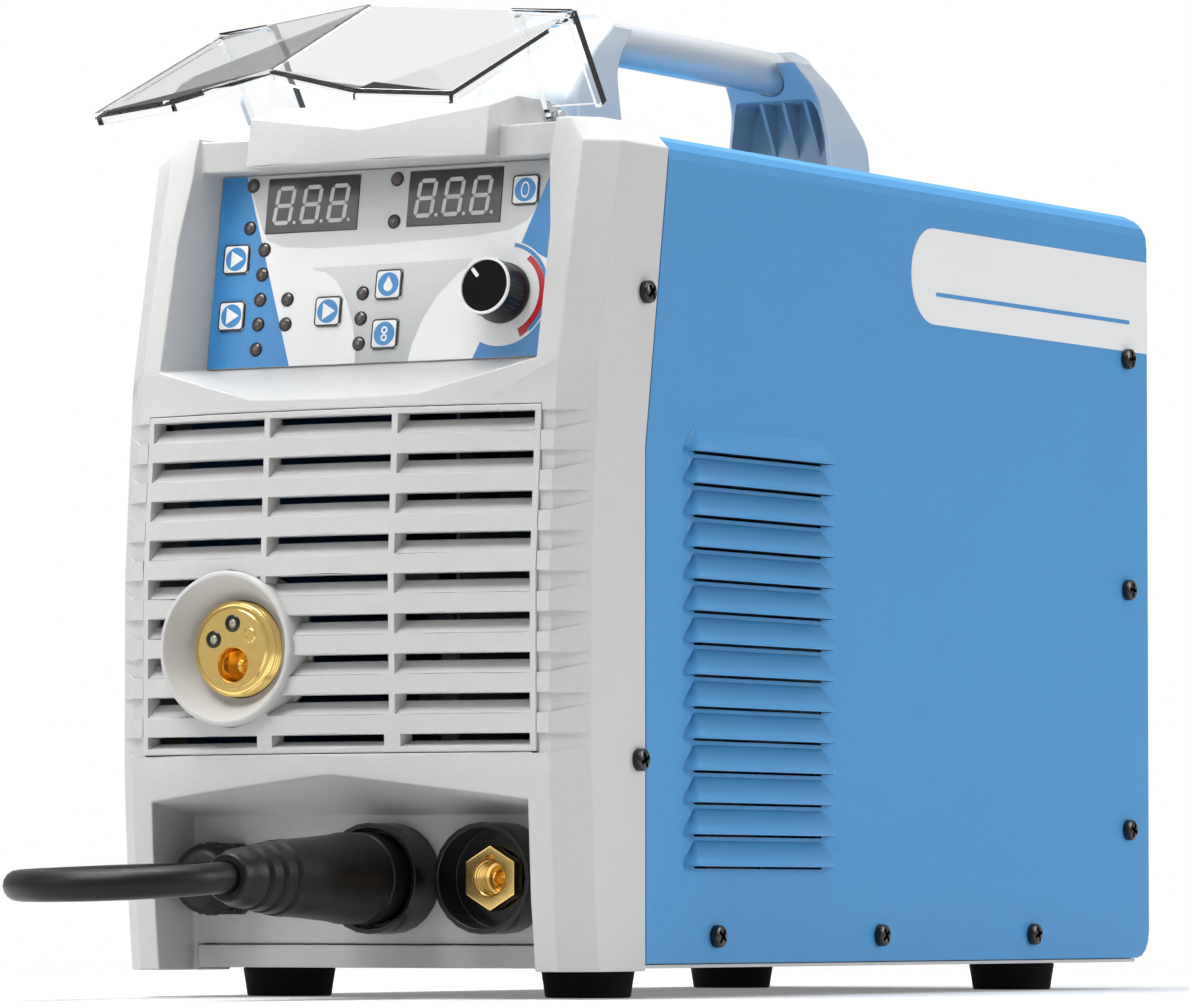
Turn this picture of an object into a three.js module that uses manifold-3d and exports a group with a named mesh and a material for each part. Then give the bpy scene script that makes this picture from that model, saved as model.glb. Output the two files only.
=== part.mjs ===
// Portable MIG welding machine with a clear hinged cover over its control panel.
// Millimetres, +Z up. The control panel faces -Y and the louvred side faces +X.
// Shapes are laid out with Z = 0 at the underside of the blue case and Y = 0 where the
// front bezel meets it. The last lines move the whole machine onto the floor, centred.
import * as THREE from 'three';
import { ConvexGeometry } from 'three/addons/geometries/ConvexGeometry.js';
import { mergeVertices } from 'three/addons/utils/BufferGeometryUtils.js';
import Module from 'manifold-3d';

const wasm = await Module();
wasm.setup();

// ---------------------------------------------------------------- driving dimensions
const GAP = 0.3; // air between neighbouring pieces
const EPS = 2; // how far a cutter runs past the face it cuts

const HALF_W = 110; // half the width of the case
const CASE_LEN = 448; // case length behind the bezel
const CASE_TOP = 332;
const SHEET = 1.5; // sheet metal thickness
const CASE_EDGE_R = 10; // long top edges of the wrap
const REAR_TOP_R = 15; // rear corners of the wrap, seen from the side
const REAR_FOOT_R = 12;

const TRAY_T = 1.5;
const FLOOR_Z = -13.5;

const WALL = 3; // moulded plastic wall
const BEZEL_BOTTOM = -2.6;
const BEZEL_TOP = 336;
const BEZEL_FLAT_X = 98; // where the bowed front ends and the corner facet starts
const BEZEL_CORNER_Z = 326; // where the top side chamfer starts
const BEZEL_TOP_HALF_W = 100;
const BEZEL_KNEE_Z = 205; // above it the joint with the case leans back
const BEZEL_LEAN = 19 / 121;

// Height, distance of the front face from the joint, its bow at the middle, facet size.
const BEZEL_STATIONS = [
  [BEZEL_BOTTOM, 48.5, 6, 12],
  [25, 51.5, 7, 12],
  [75, 54.5, 8, 12],
  [155, 54.5, 9, 12],
  [BEZEL_KNEE_Z, 51.3, 10.5, 12],
  [220, 50, 11, 12],
  [239, 48, 9.5, 11.5],
  [300, 34.5, 9, 10.5],
  [321, 29.5, 9, 10],
  [BEZEL_CORNER_Z, 28.4, 9, 10],
  [BEZEL_TOP, 26.2, 9, 10],
];

const PANEL_TILT = THREE.MathUtils.degToRad(8.6); // the control panel leans back
const PANEL_CENTRE = new THREE.Vector3(0, -15.24, 281);
const PANEL_HALF_W = 83.6;
const PANEL_HALF_H = 40;
const RECESS_HALF_W = 84;
const RECESS_TOP = 321.5;
const RECESS_BACK_TOP_Y = -9.2;
const RECESS_BACK_FOOT = [-21.3, 241];

const VISOR_HALF_W = 56.8;
const NOTCH_HALF_W = 84.5; // the cover's arms lie between the visor and this
const NOTCH_FLOOR = 334.3;
const NOTCH_WALL_REAR = 18;

const COVER_AXIS = [16, 341]; // Y and Z of the cover's hinge
const COVER_OPEN = THREE.MathUtils.degToRad(55);
const COVER_T = 2.5;
const COVER_LIP = 5.3;
const COVER_HALF_W = 84;

const GRILLE_HALF_W = 92.2;
const GRILLE_FOOT = 83.8;
const GRILLE_TOP = 220.4;
const GRILLE_ROWS = 9;
const GRILLE_PITCH = 15.87;
const SLOT_H = 8;
const GRILLE_FRAME = 2.4;
const RIB_X = 30;
const RIB_HALF = 1.3;
const RIB_HALF_LOW = 3.6; // the lowest row has wide ribs
const GRILLE_LEAN_FROM = 0.52; // fraction of the height where the face starts to lean back
const GRILLE_LEAN = 9.4;

const EURO = [-46.7, 126]; // X and Z of the torch socket
const EURO_COLLAR_R = 31.2;
const EURO_BODY_R = 19.2;

const BAY_HALF_W = 88.2;
const BAY_BACK_Y = -24;
const BAY_BACK_TOP = 59.7;
const BAY_SIDE_Y = -56; // the bay's ceiling rises from its back to a low gable in front
const BAY_SIDE_RISE = 5.5;
const BAY_RIDGE_Y = -63;
const BAY_RIDGE_RISE = 15.6;
const SOCKET_Z = 34.2;
const PLUG_SOCKET_X = 7.5;
const RETURN_SOCKET_X = 60;
const GLAND_X = -71;
const SOCKET_COLLAR_R = 22.2;
const SOCKET_FRONT_Y = -43.5;
const PLUG_TIP_Y = -147;
const CABLE_R = 6.15;

const HANDLE_MID_Y = 216.2;
const GRIP_Z = 388.2;
const GRIP_R = 10;
const GRIP_END = 84.5; // from the handle's middle to each end of the tube

const LOUVRES = 14;
const LOUVRE_TOP_Z = 205.6;
const LOUVRE_PITCH = 12.8;
const LOUVRE_Y = [34, 149];
const LOUVRE_OUT = 4.3;

const DOOR_Y = [26, 428];
const DOOR_Z = [20, 300];
const DOOR_AXIS = [-112.3, 430]; // X and Y of the door's hinge
const DOOR_BARREL_R = 2;

const SPOOL_CENTRE = [-52, 300, 150];
const SPOOL_R = 98;
const SPOOL_HALF_W = 27;
const ROLL_Y = 110;
const DRIVE_R = 18.5;
const IDLER_R = 15;
const DIVIDER_X = 4;

const FAN_CENTRE = [57, 110];
const FAN_SIZE = 92;
const REAR_PANEL_Y = 445;
const SWITCH = [57, 250];
const MAINS_GLAND = [57, 200];
const GAS_INLET = [-60, 285];

// ---------------------------------------------------------------- materials
const finish = (color, roughness, metalness = 0) => ({ color, roughness, metalness });
const BLUE = finish(0x5692c6, 0.42);
const BEZEL_GREY = finish(0xc9c9c7, 0.55);
const HANDLE_GREY = finish(0xaab4bc, 0.5);
const TRAY_GREY = finish(0xd9dbdc, 0.45);
const BLACK = finish(0x1a1a1b, 0.55);
const RUBBER = finish(0x161616, 0.85);
const BRASS = finish(0xc9a54c, 0.28, 1);
const STEEL = finish(0xb4b6b8, 0.35, 1);
const COPPER = finish(0xb5713f, 0.35, 1);
const ZINC = finish(0xa9adb0, 0.45, 1);
const CLEAR = finish(0xe8f0f2, 0.05);
const WHITE = finish(0xeef0f0, 0.4);
const GLASS_DARK = finish(0x3c3c3e, 0.15);
const LED_GREY = finish(0x6a5f5c, 0.3);
const BOARD_GREEN = finish(0x2f6b46, 0.6);
const ALUMINIUM = finish(0xc0c4c8, 0.4, 1);

// ---------------------------------------------------------------- geometry helpers
const v = (x, y, z) => new THREE.Vector3(x, y, z);
const mirrored = (points) => points.map(([x, y, z]) => [-x, y, z]);

function signedVolume(position, index) {
  const a = new THREE.Vector3();
  const b = new THREE.Vector3();
  const c = new THREE.Vector3();
  let total = 0;
  for (let i = 0; i < index.length; i += 3) {
    a.fromBufferAttribute(position, index[i]);
    b.fromBufferAttribute(position, index[i + 1]);
    c.fromBufferAttribute(position, index[i + 2]);
    total += a.dot(b.cross(c));
  }
  return total;
}

// A closed geometry as a manifold solid, turned inside out when it is wound backwards.
function solid(geometry) {
  const bare = geometry.clone();
  bare.deleteAttribute('normal');
  bare.deleteAttribute('uv');
  const merged = mergeVertices(bare, 1e-4);
  const index = Uint32Array.from(merged.index.array);
  if (signedVolume(merged.attributes.position, index) < 0) {
    for (let i = 0; i < index.length; i += 3) {
      [index[i], index[i + 1]] = [index[i + 1], index[i]];
    }
  }
  const vertProperties = Float32Array.from(merged.attributes.position.array);
  return new wasm.Manifold(new wasm.Mesh({ numProp: 3, vertProperties, triVerts: index }));
}

const join = (pieces) => pieces.reduce((sum, piece) => sum.add(piece));
const cut = (body, tools) => body.subtract(join(tools));

function toGeometry(manifold) {
  const { vertProperties, triVerts } = manifold.getMesh();
  const geometry = new THREE.BufferGeometry();
  geometry.setAttribute('position', new THREE.BufferAttribute(vertProperties, 3));
  geometry.setIndex(new THREE.BufferAttribute(triVerts, 1));
  geometry.computeVertexNormals();
  return geometry;
}

function box(x0, x1, y0, y1, z0, z1) {
  const geometry = new THREE.BoxGeometry(x1 - x0, y1 - y0, z1 - z0);
  return solid(geometry.translate((x0 + x1) / 2, (y0 + y1) / 2, (z0 + z1) / 2));
}

const hull = (points) => solid(new ConvexGeometry(points.map(([x, y, z]) => v(x, y, z))));

function extruded(points, depth, basis, origin) {
  const shape = new THREE.Shape(points.map(([a, b]) => new THREE.Vector2(a, b)));
  const geometry = new THREE.ExtrudeGeometry(shape, { depth, bevelEnabled: false });
  const matrix = new THREE.Matrix4().makeBasis(...basis).setPosition(origin);
  return solid(geometry.applyMatrix4(matrix));
}

// A YZ outline carried along X, an XZ outline along Y and an XY outline along Z.
const prismX = (points, x0, x1) =>
  extruded(points, x1 - x0, [v(0, 1, 0), v(0, 0, 1), v(1, 0, 0)], v(x0, 0, 0));
const prismY = (points, y0, y1) =>
  extruded(points, y1 - y0, [v(1, 0, 0), v(0, 0, 1), v(0, -1, 0)], v(0, y1, 0));
const prismZ = (points, z0, z1) =>
  extruded(points, z1 - z0, [v(1, 0, 0), v(0, 1, 0), v(0, 0, 1)], v(0, 0, z0));

function rodX(r, x0, x1, y, z, sides = 16) {
  const geometry = new THREE.CylinderGeometry(r, r, x1 - x0, sides);
  return solid(geometry.rotateZ(Math.PI / 2).translate((x0 + x1) / 2, y, z));
}

function rodY(r, x, y0, y1, z, sides = 16, turn = 0) {
  const geometry = new THREE.CylinderGeometry(r, r, y1 - y0, sides);
  return solid(geometry.rotateY(turn).translate(x, (y0 + y1) / 2, z));
}

function rodZ(r, x, y, z0, z1, sides = 16) {
  const geometry = new THREE.CylinderGeometry(r, r, z1 - z0, sides);
  return solid(geometry.rotateX(Math.PI / 2).translate(x, y, (z0 + z1) / 2));
}

// A profile of [radius, distance along the axis] turned about Y, X or Z.
function turned(profile, sides = 24) {
  const points = profile.map(([r, t]) => new THREE.Vector2(r, t));
  return new THREE.LatheGeometry(points, sides);
}
const turnedY = (profile, x, z, sides) => solid(turned(profile, sides).translate(x, 0, z));
const turnedX = (profile, y, z, sides) =>
  solid(turned(profile, sides).rotateZ(-Math.PI / 2).translate(0, y, z));
const turnedZ = (profile, x, y, sides) =>
  solid(turned(profile, sides).rotateX(Math.PI / 2).translate(x, y, 0));

// A rounded rectangle outline. corners = radii at (x0,y0), (x1,y0), (x1,y1), (x0,y1).
function roundedOutline(x0, x1, y0, y1, corners, steps = 5) {
  const centres = [[x0, y0, 1, 1], [x1, y0, -1, 1], [x1, y1, -1, -1], [x0, y1, 1, -1]];
  return centres.flatMap(([x, y, sx, sy], k) => {
    const r = corners[k];
    if (r === 0) {
      return [[x, y]];
    }
    const start = Math.PI + (k * Math.PI) / 2;
    return Array.from({ length: steps + 1 }, (_, i) => {
      const angle = start + (i * Math.PI) / 2 / steps;
      return [x + sx * r + r * Math.cos(angle), y + sy * r + r * Math.sin(angle)];
    });
  });
}
const roundedRect = (x0, x1, y0, y1, r, steps) =>
  roundedOutline(x0, x1, y0, y1, [r, r, r, r], steps);

// A closed skin over rings of [x, y, z] points, all with the same number of points.
// flatten gives the two coordinates in which the end rings are seen as outlines.
function loft(rings, flatten = ([x, y]) => [x, y]) {
  const count = rings[0].length;
  const index = [];
  for (let k = 0; k + 1 < rings.length; k += 1) {
    for (let i = 0; i < count; i += 1) {
      const a = k * count + i;
      const b = k * count + ((i + 1) % count);
      index.push(a, b, b + count, a, b + count, a + count);
    }
  }
  const flat = rings[0].map((point) => new THREE.Vector2(...flatten(point)));
  if (THREE.ShapeUtils.isClockWise(flat)) {
    for (let i = 0; i < index.length; i += 3) {
      [index[i], index[i + 1]] = [index[i + 1], index[i]];
    }
  }
  const last = (rings.length - 1) * count;
  for (const [a, b, c] of THREE.ShapeUtils.triangulateShape(flat, [])) {
    index.push(a, c, b, last + a, last + b, last + c);
  }
  const geometry = new THREE.BufferGeometry();
  geometry.setAttribute('position', new THREE.Float32BufferAttribute(rings.flat(2), 3));
  geometry.setIndex(index);
  return solid(geometry);
}

const machine = new THREE.Group();
const makeMaterial = ({ color, roughness, metalness }) =>
  new THREE.MeshStandardMaterial({ color, roughness, metalness });

function addPart(name, body, look, parent = machine) {
  const mesh = new THREE.Mesh(toGeometry(body), makeMaterial(look));
  mesh.name = name;
  parent.add(mesh);
  return mesh;
}

// ---------------------------------------------------------------- front bezel
const BOW_STEPS = 6;
const bezelRear = (z) => Math.max(0, z - BEZEL_KNEE_Z) * BEZEL_LEAN;

// The bezel's plan outline at one height, drawn in from its outside by inset.
function bezelRing([z, depth, bow, facet], inset, rearY) {
  const side = (z >= BEZEL_TOP ? BEZEL_TOP_HALF_W : HALF_W) - inset;
  const flat = Math.min(BEZEL_FLAT_X, side - facet + inset) - inset / 2;
  const front = -depth + inset;
  const row = [];
  for (let i = 0; i <= BOW_STEPS; i += 1) {
    const t = (2 * i) / BOW_STEPS - 1;
    row.push([flat * t, front - bow * (1 - t * t), z]);
  }
  const cheek = front + facet;
  return [[-side, rearY, z], [-side, cheek, z], ...row, [side, cheek, z], [side, rearY, z]];
}

function bezelBlock() {
  return loft(BEZEL_STATIONS.map((s) => bezelRing(s, 0, bezelRear(s[0]))));
}

// The hollow behind the bezel's skin, open towards the case.
function bezelHollow() {
  const openRear = bezelRear(BEZEL_TOP) + EPS;
  const rings = BEZEL_STATIONS.map((s) => bezelRing(s, WALL, openRear));
  const lift = (ring, z) => ring.map(([x, y]) => [x, y, z]);
  rings[0] = lift(rings[0], BEZEL_BOTTOM + WALL);
  rings[rings.length - 1] = lift(rings[rings.length - 1], BEZEL_TOP - WALL);
  return loft(rings);
}

// Half of the raised visor, with the shallow V in its front edge, grown by grow.
function visorHalf(grow) {
  const side = VISOR_HALF_W + grow;
  const foot = BEZEL_CORNER_Z - 4 - grow;
  const back = 22 + grow;
  const roof = 347.8 + grow;
  return hull([
    [0, -38.5 - grow, 334.3 + grow], [side, -31.5 - grow, 342 + grow],
    [side, -10.4, roof], [0, -10.4, roof],
    [side, back, roof], [0, back, roof],
    [0, -38.5 - grow, foot], [side, -35.4 - grow, foot],
    [side, back, foot], [0, back, foot],
  ]);
}

function visor(grow) {
  const half = visorHalf(grow);
  return half.add(half.mirror([1, 0, 0]));
}

// The funnel in front of the control panel, with its V-shaped sill.
function recess(grow) {
  const front = -90;
  const w = RECESS_HALF_W + grow;
  const top = RECESS_TOP + grow;
  const [footY, footZ] = RECESS_BACK_FOOT;
  const corners = [
    [w, RECESS_BACK_TOP_Y + grow, top], [w, front, top],
    [w, footY + grow, footZ - grow], [w + 11.8, front, 235.9 - grow],
  ];
  return hull([...corners, ...mirrored(corners), [0, front, 212.8 - grow]]);
}

// The connector bay, with the V-shaped edge above it.
function bay(grow) {
  const front = -90;
  const w = BAY_HALF_W + grow;
  const top = BAY_BACK_TOP + grow;
  const corners = [
    [w, BAY_BACK_Y + grow, top], [w, BAY_SIDE_Y, top + BAY_SIDE_RISE], [w, front, top + BAY_SIDE_RISE],
    [w, BAY_BACK_Y + grow, -20], [w, front, -20],
  ];
  const ridge = [[0, BAY_RIDGE_Y, top + BAY_RIDGE_RISE], [0, front, top + BAY_RIDGE_RISE]];
  return hull([...corners, ...mirrored(corners), ...ridge]);
}

// The step beside the visor in which one arm of the cover lies, grown by grow.
function coverNotch(sign, grow, rear) {
  const near = sign * (VISOR_HALF_W - grow);
  const far = sign * (NOTCH_HALF_W + grow);
  const x0 = Math.min(near, far);
  const x1 = Math.max(near, far);
  const step = [[near, -80], [near, -23.5 + grow], [far, -25.5 + grow], [far, -80]];
  return join([
    prismZ(step, RECESS_TOP - EPS - grow, BEZEL_TOP + EPS),
    box(x0, x1, -80, rear, NOTCH_FLOOR - grow, BEZEL_TOP + EPS),
  ]);
}

const panelGroup = new THREE.Group();
panelGroup.position.copy(PANEL_CENTRE);
panelGroup.rotation.x = -PANEL_TILT;
machine.add(panelGroup);

// Things on the panel are laid out flat: x across, z up the panel, -y out of it.
const DISPLAYS = [[-38.9, 27], [28.8, 27]];
const DISPLAY_HALF = [22, 11.4];
const LAMPS = [
  [-68.4, 36.1], [-68.4, 18.3], [-60.5, 8.9], [-60.5, -1.4], [-60.5, -11.9], [-60.5, -22.2],
  [-60.5, -32.6], [-47.3, -12.3], [-47.3, -22.6], [-11.3, -11.2], [-11.3, -21.6],
  [-11.3, -32], [0.8, 35.6], [0.8, 18],
];
const LAMP_R = 2.5;
const KEYS = [[-73.4, 5.4], [-73.4, -18.3], [-27, -18.1], [1, -8.1], [1, -28.5], [62.1, 28.1]];
const KEY_HALF = 6.1;
const KNOB = [55.3, -14];
const KNOB_SHAFT_R = 3;
const PANEL_WALL = 2.5;
const OVERLAY_T = 1;

function panelCutters(y0, y1, clear) {
  const [dw, dh] = DISPLAY_HALF;
  const k = KEY_HALF + clear;
  return [
    ...DISPLAYS.map(([x, z]) => box(x - dw - clear, x + dw + clear, y0, y1, z - dh - clear,
      z + dh + clear)),
    ...LAMPS.map(([x, z]) => rodY(LAMP_R + clear, x, y0, y1, z, 8)),
    ...KEYS.map(([x, z]) => prismY(roundedRect(x - k, x + k, z - k, z + k, 1.5, 1), y0, y1)),
    rodY(KNOB_SHAFT_R + clear, KNOB[0], y0, y1, KNOB[1], 20),
  ];
}

const panelMatrix = panelGroup.matrix.compose(
  panelGroup.position, panelGroup.quaternion, panelGroup.scale);
const ontoPanel = (body) => body.transform(panelMatrix.toArray());

const socketHole = (x, r) => rodY(r, x, BAY_BACK_Y - EPS, BAY_BACK_Y + WALL + EPS, SOCKET_Z);

function frontBezel() {
  const walls = join([
    recess(WALL - 0.5), bay(WALL), coverNotch(1, WALL, NOTCH_WALL_REAR),
    coverNotch(-1, WALL, NOTCH_WALL_REAR),
  ]);
  const hollow = bezelHollow().add(visor(-WALL)).subtract(walls);
  const shell = bezelBlock().add(visor(0)).subtract(hollow);
  const grilleHole = box(-GRILLE_HALF_W - GAP, GRILLE_HALF_W + GAP, -80, -30,
    GRILLE_FOOT - GAP, GRILLE_TOP + GAP);
  const pinHoles = rodX(1.9, -VISOR_HALF_W - EPS, -VISOR_HALF_W + WALL + EPS, ...COVER_AXIS)
    .add(rodX(1.9, VISOR_HALF_W - WALL - EPS, VISOR_HALF_W + EPS, ...COVER_AXIS));
  return cut(shell, [
    recess(0), bay(0), coverNotch(1, 0, 40), coverNotch(-1, 0, 40), grilleHole, pinHoles,
    box(-86, 86, BAY_BACK_Y - EPS, 30, BEZEL_BOTTOM - EPS, 8),
    ...panelCutters(-EPS, PANEL_WALL + 3, 0.5).map(ontoPanel),
    socketHole(GLAND_X, 8.6),
    socketHole(PLUG_SOCKET_X, 12.6),
    socketHole(RETURN_SOCKET_X, 12.6),
  ]);
}
addPart('front_bezel', frontBezel(), BEZEL_GREY);

// ---------------------------------------------------------------- front grille
// Louvre blades: an upright bar with a wing rising behind it, bowed like the bezel.
function grilleFace(x, z) {
  const t = (z - GRILLE_FOOT) / (GRILLE_TOP - GRILLE_FOOT);
  const front = 54.5 - Math.max(0, t - GRILLE_LEAN_FROM) * GRILLE_LEAN;
  const bow = 8 + 3 * t;
  return -front - bow * (1 - (x / BEZEL_FLAT_X) ** 2);
}

function bowedBlock(z0, z1, thickness) {
  const middle = GRILLE_FOOT + GRILLE_LEAN_FROM * (GRILLE_TOP - GRILLE_FOOT);
  const rings = [z0, middle, z1].map((z) => {
    const xs = Array.from({ length: BOW_STEPS + 1 },
      (_, i) => GRILLE_HALF_W * ((2 * i) / BOW_STEPS - 1));
    const face = xs.map((x) => [x, grilleFace(x, z), z]);
    const back = xs.map((x) => [x, grilleFace(x, z) + thickness, z]).reverse();
    return [...face, ...back];
  });
  return loft(rings);
}

const GRILLE_T = 9;
const SLOT_LEAK = 2.6; // height left open behind each blade

// One louvre slot between x0 and x1: its sill climbs behind the bar in front of it.
function grilleSlot(x0, x1, top, foot) {
  const steps = 2;
  const rings = [];
  for (let i = 0; i <= steps; i += 1) {
    const x = x0 + ((x1 - x0) * i) / steps;
    const y = grilleFace(x, (top + foot) / 2);
    rings.push([
      [x, y - 12, top], [x, y - 12, foot], [x, y + 0.8, foot], [x, y + 7.5, top - SLOT_LEAK],
      [x, y + 22, top - SLOT_LEAK], [x, y + 22, top],
    ]);
  }
  return loft(rings, ([, y, z]) => [y, z]);
}

function grilleSlots() {
  const slots = [];
  for (let row = 0; row < GRILLE_ROWS; row += 1) {
    const lowest = row === GRILLE_ROWS - 1;
    const rib = lowest ? RIB_HALF_LOW : RIB_HALF;
    const top = GRILLE_TOP - GRILLE_FRAME - row * GRILLE_PITCH;
    const foot = lowest ? GRILLE_FOOT + GRILLE_FRAME : top - SLOT_H;
    const edge = GRILLE_HALF_W - GRILLE_FRAME;
    slots.push(grilleSlot(-edge, -RIB_X - rib, top, foot));
    slots.push(grilleSlot(-RIB_X + rib, RIB_X - rib, top, foot));
    slots.push(grilleSlot(RIB_X + rib, edge, top, foot));
  }
  return slots;
}

function frontGrille() {
  const panel = bowedBlock(GRILLE_FOOT, GRILLE_TOP, GRILLE_T);
  const [x, z] = EURO;
  return cut(panel, [...grilleSlots(), rodY(EURO_COLLAR_R + GAP, x, -80, -30, z, 20)]);
}
addPart('front_grille', frontGrille(), BEZEL_GREY);

// ---------------------------------------------------------------- torch socket
const [euroX, euroZ] = EURO;
addPart('euro_collar', turnedY([
  [19.6, -52], [EURO_COLLAR_R, -52], [EURO_COLLAR_R, -66], [28.6, -66], [21.4, -57], [19.6, -57],
  [19.6, -52],
], euroX, euroZ, 20), BEZEL_GREY);

function euroSocket() {
  const body = turnedY([
    [0, -20], [12, -20], [12, -44], [EURO_BODY_R, -44], [EURO_BODY_R, -58.2], [18.2, -59.4],
    [0, -59.4],
  ], euroX, euroZ, 16);
  return cut(body, [
    rodY(6.8, euroX + 1.5, -80, -30, euroZ - 7.5, 14),
    rodY(2.9, euroX - 8, -80, -50, euroZ + 4.5, 14),
    rodY(2.9, euroX - 0.5, -80, -50, euroZ + 10.5, 14),
    rodY(2.6, euroX + 8.5, -80, -50, euroZ + 6.5, 14),
  ]);
}
addPart('euro_socket', euroSocket(), BRASS);

// ---------------------------------------------------------------- connector bay
const collarProfile = [
  [11.8, -30], [SOCKET_COLLAR_R - 2.2, -30], [SOCKET_COLLAR_R - 2.2, SOCKET_FRONT_Y],
  [SOCKET_COLLAR_R, SOCKET_FRONT_Y], [SOCKET_COLLAR_R, BAY_BACK_Y - GAP],
  [12.2, BAY_BACK_Y - GAP], [12.2, -14], [11.8, -14], [11.8, -30],
];
addPart('plug_socket_collar', turnedY(collarProfile, PLUG_SOCKET_X, SOCKET_Z, 24), BLACK);
addPart('return_socket_collar', turnedY(collarProfile, RETURN_SOCKET_X, SOCKET_Z, 24), BLACK);

// Brass insert: a hexagon in front of the collar's floor, a stem through it, a keyed bore.
function socketInsert(x) {
  const hex = rodY(13.2, x, -37, -30.3, SOCKET_Z, 6);
  const stem = rodY(11.4, x, -32, -8, SOCKET_Z, 24);
  const bore = rodY(7.6, x, -80, -14, SOCKET_Z, 24);
  const key = box(x - 2, x + 2, -80, -20, SOCKET_Z, SOCKET_Z + 9.6);
  const port = rodY(1.5, x, -30, -4, SOCKET_Z, 12);
  return cut(hex.add(stem), [bore, key, port]);
}
addPart('plug_socket_insert', socketInsert(PLUG_SOCKET_X), BRASS);
addPart('return_socket_insert', socketInsert(RETURN_SOCKET_X), BRASS);

function cableGland() {
  const flange = rodY(16.6, GLAND_X, -33, BAY_BACK_Y - GAP, SOCKET_Z, 6, Math.PI / 6);
  const dome = turnedY([[0, -32], [13.4, -32], [12.6, -36], [9.6, -39.6], [0, -40]],
    GLAND_X, SOCKET_Z, 20);
  const stem = rodY(8.2, GLAND_X, -26, -8, SOCKET_Z, 24);
  const nut = rodY(12, GLAND_X, BAY_BACK_Y + WALL + GAP, -15, SOCKET_Z, 6);
  return cut(join([flange, dome, stem, nut]), [rodY(6.6, GLAND_X, -60, -4, SOCKET_Z, 24)]);
}
addPart('cable_gland', cableGland(), BLACK);

function polarityPlug() {
  const boot = [
    [0, PLUG_TIP_Y], [9.4, PLUG_TIP_Y], [10.6, -138], [12.3, -131.5], [14.3, -122], [14.7, -114],
    [15.7, -94], [18.25, -65], [18.25, -38], [0, -38],
  ];
  const pin = rodY(6.3, PLUG_SOCKET_X, -39, -15.5, SOCKET_Z, 20);
  const body = turnedY(boot, PLUG_SOCKET_X, SOCKET_Z, 20).add(pin);
  const seat = rodY(CABLE_R + GAP, PLUG_SOCKET_X, PLUG_TIP_Y - EPS, PLUG_TIP_Y + 10, SOCKET_Z, 20);
  return cut(body, [seat]);
}
addPart('polarity_plug', polarityPlug(), RUBBER);

// The jumper from the gland round to the plug: one flat loop in front of the bay.
const CABLE_ROUTE = [
  [-71, -38, 34.2], [-71, -51, 34.2], [-71, -64, 34.2], [-72, -79, 34], [-74.5, -94.5, 33.6],
  [-77.5, -110, 33.1], [-79.5, -125, 32.6], [-80, -140.5, 32.1], [-76.7, -161, 31.5],
  [-67.3, -179, 31.1], [-53.1, -191.3, 30.9], [-36.5, -195.5, 30.9], [-19.7, -192.3, 31.2],
  [-5.4, -183.2, 31.9], [4.2, -169.6, 32.9], [7.5, -153.5, 33.9], [7.5, -145.5, 34.2],
  [7.5, -137.4, 34.2],
];
const CABLE_SIDES = 10;
const CABLE_STEPS = 34;

function polarityCable() {
  const curve = new THREE.CatmullRomCurve3(CABLE_ROUTE.map((p) => v(...p)), false, 'centripetal');
  const ring = Array.from({ length: CABLE_SIDES }, (_, i) => {
    const angle = (i * 2 * Math.PI) / CABLE_SIDES;
    return new THREE.Vector2(CABLE_R * Math.cos(angle), CABLE_R * Math.sin(angle));
  });
  return solid(new THREE.ExtrudeGeometry(new THREE.Shape(ring), {
    steps: CABLE_STEPS, extrudePath: curve, bevelEnabled: false,
  }));
}
addPart('polarity_cable', polarityCable(), RUBBER);

// ---------------------------------------------------------------- tray and feet
function baseTray() {
  const half = HALF_W - 1;
  const y1 = CASE_LEN - REAR_FOOT_R;
  const frontHalf = 85;
  const lipY = BAY_BACK_Y - GAP - TRAY_T;
  const outline = [
    [-half, GAP], [-frontHalf, GAP], [-frontHalf, lipY], [frontHalf, lipY], [frontHalf, GAP],
    [half, GAP], [half, y1], [-half, y1],
  ];
  const inner = half - SHEET - GAP;
  return join([
    prismZ(outline, -TRAY_T, 0),
    box(-frontHalf, frontHalf, lipY, lipY + TRAY_T, -TRAY_T, 7.6),
    box(inner - TRAY_T, inner, 24, y1, -TRAY_T, 14),
    box(-inner, -inner + TRAY_T, 24, y1, -TRAY_T, 14),
    box(-inner, inner, y1 - TRAY_T, y1, -TRAY_T, 14),
  ]);
}
addPart('base_tray', baseTray(), TRAY_GREY);

const FOOT_X = 71;
const FOOT_TOP_Z = -TRAY_T - GAP;
const feet = [
  ['foot_front_left', -FOOT_X, 21], ['foot_front_right', FOOT_X, 21],
  ['foot_rear_left', -FOOT_X, 390], ['foot_rear_right', FOOT_X, 390],
];
for (const [name, x, y] of feet) {
  const profile = [
    [0, FOOT_TOP_Z], [19, FOOT_TOP_Z], [17.2, FLOOR_Z], [7, FLOOR_Z], [6, FLOOR_Z + 4],
    [0, FLOOR_Z + 4],
  ];
  addPart(name, turnedZ(profile, x, y, 20), RUBBER);
}

// ---------------------------------------------------------------- case wrap
function louvreHood(k) {
  const z = LOUVRE_TOP_Z - k * LOUVRE_PITCH;
  const [y0, y1] = LOUVRE_Y;
  const out = HALF_W + LOUVRE_OUT;
  const skin = HALF_W - 0.2;
  return hull([
    [skin, y0, z], [skin, y1, z], [skin, y0 + 2, z + 7.4], [skin, y1 - 2, z + 7.4],
    [out, y0 + 4, z], [out, y1 - 4, z], [out, y0 + 5, z + 2], [out, y1 - 5, z + 2],
  ]);
}

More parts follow.
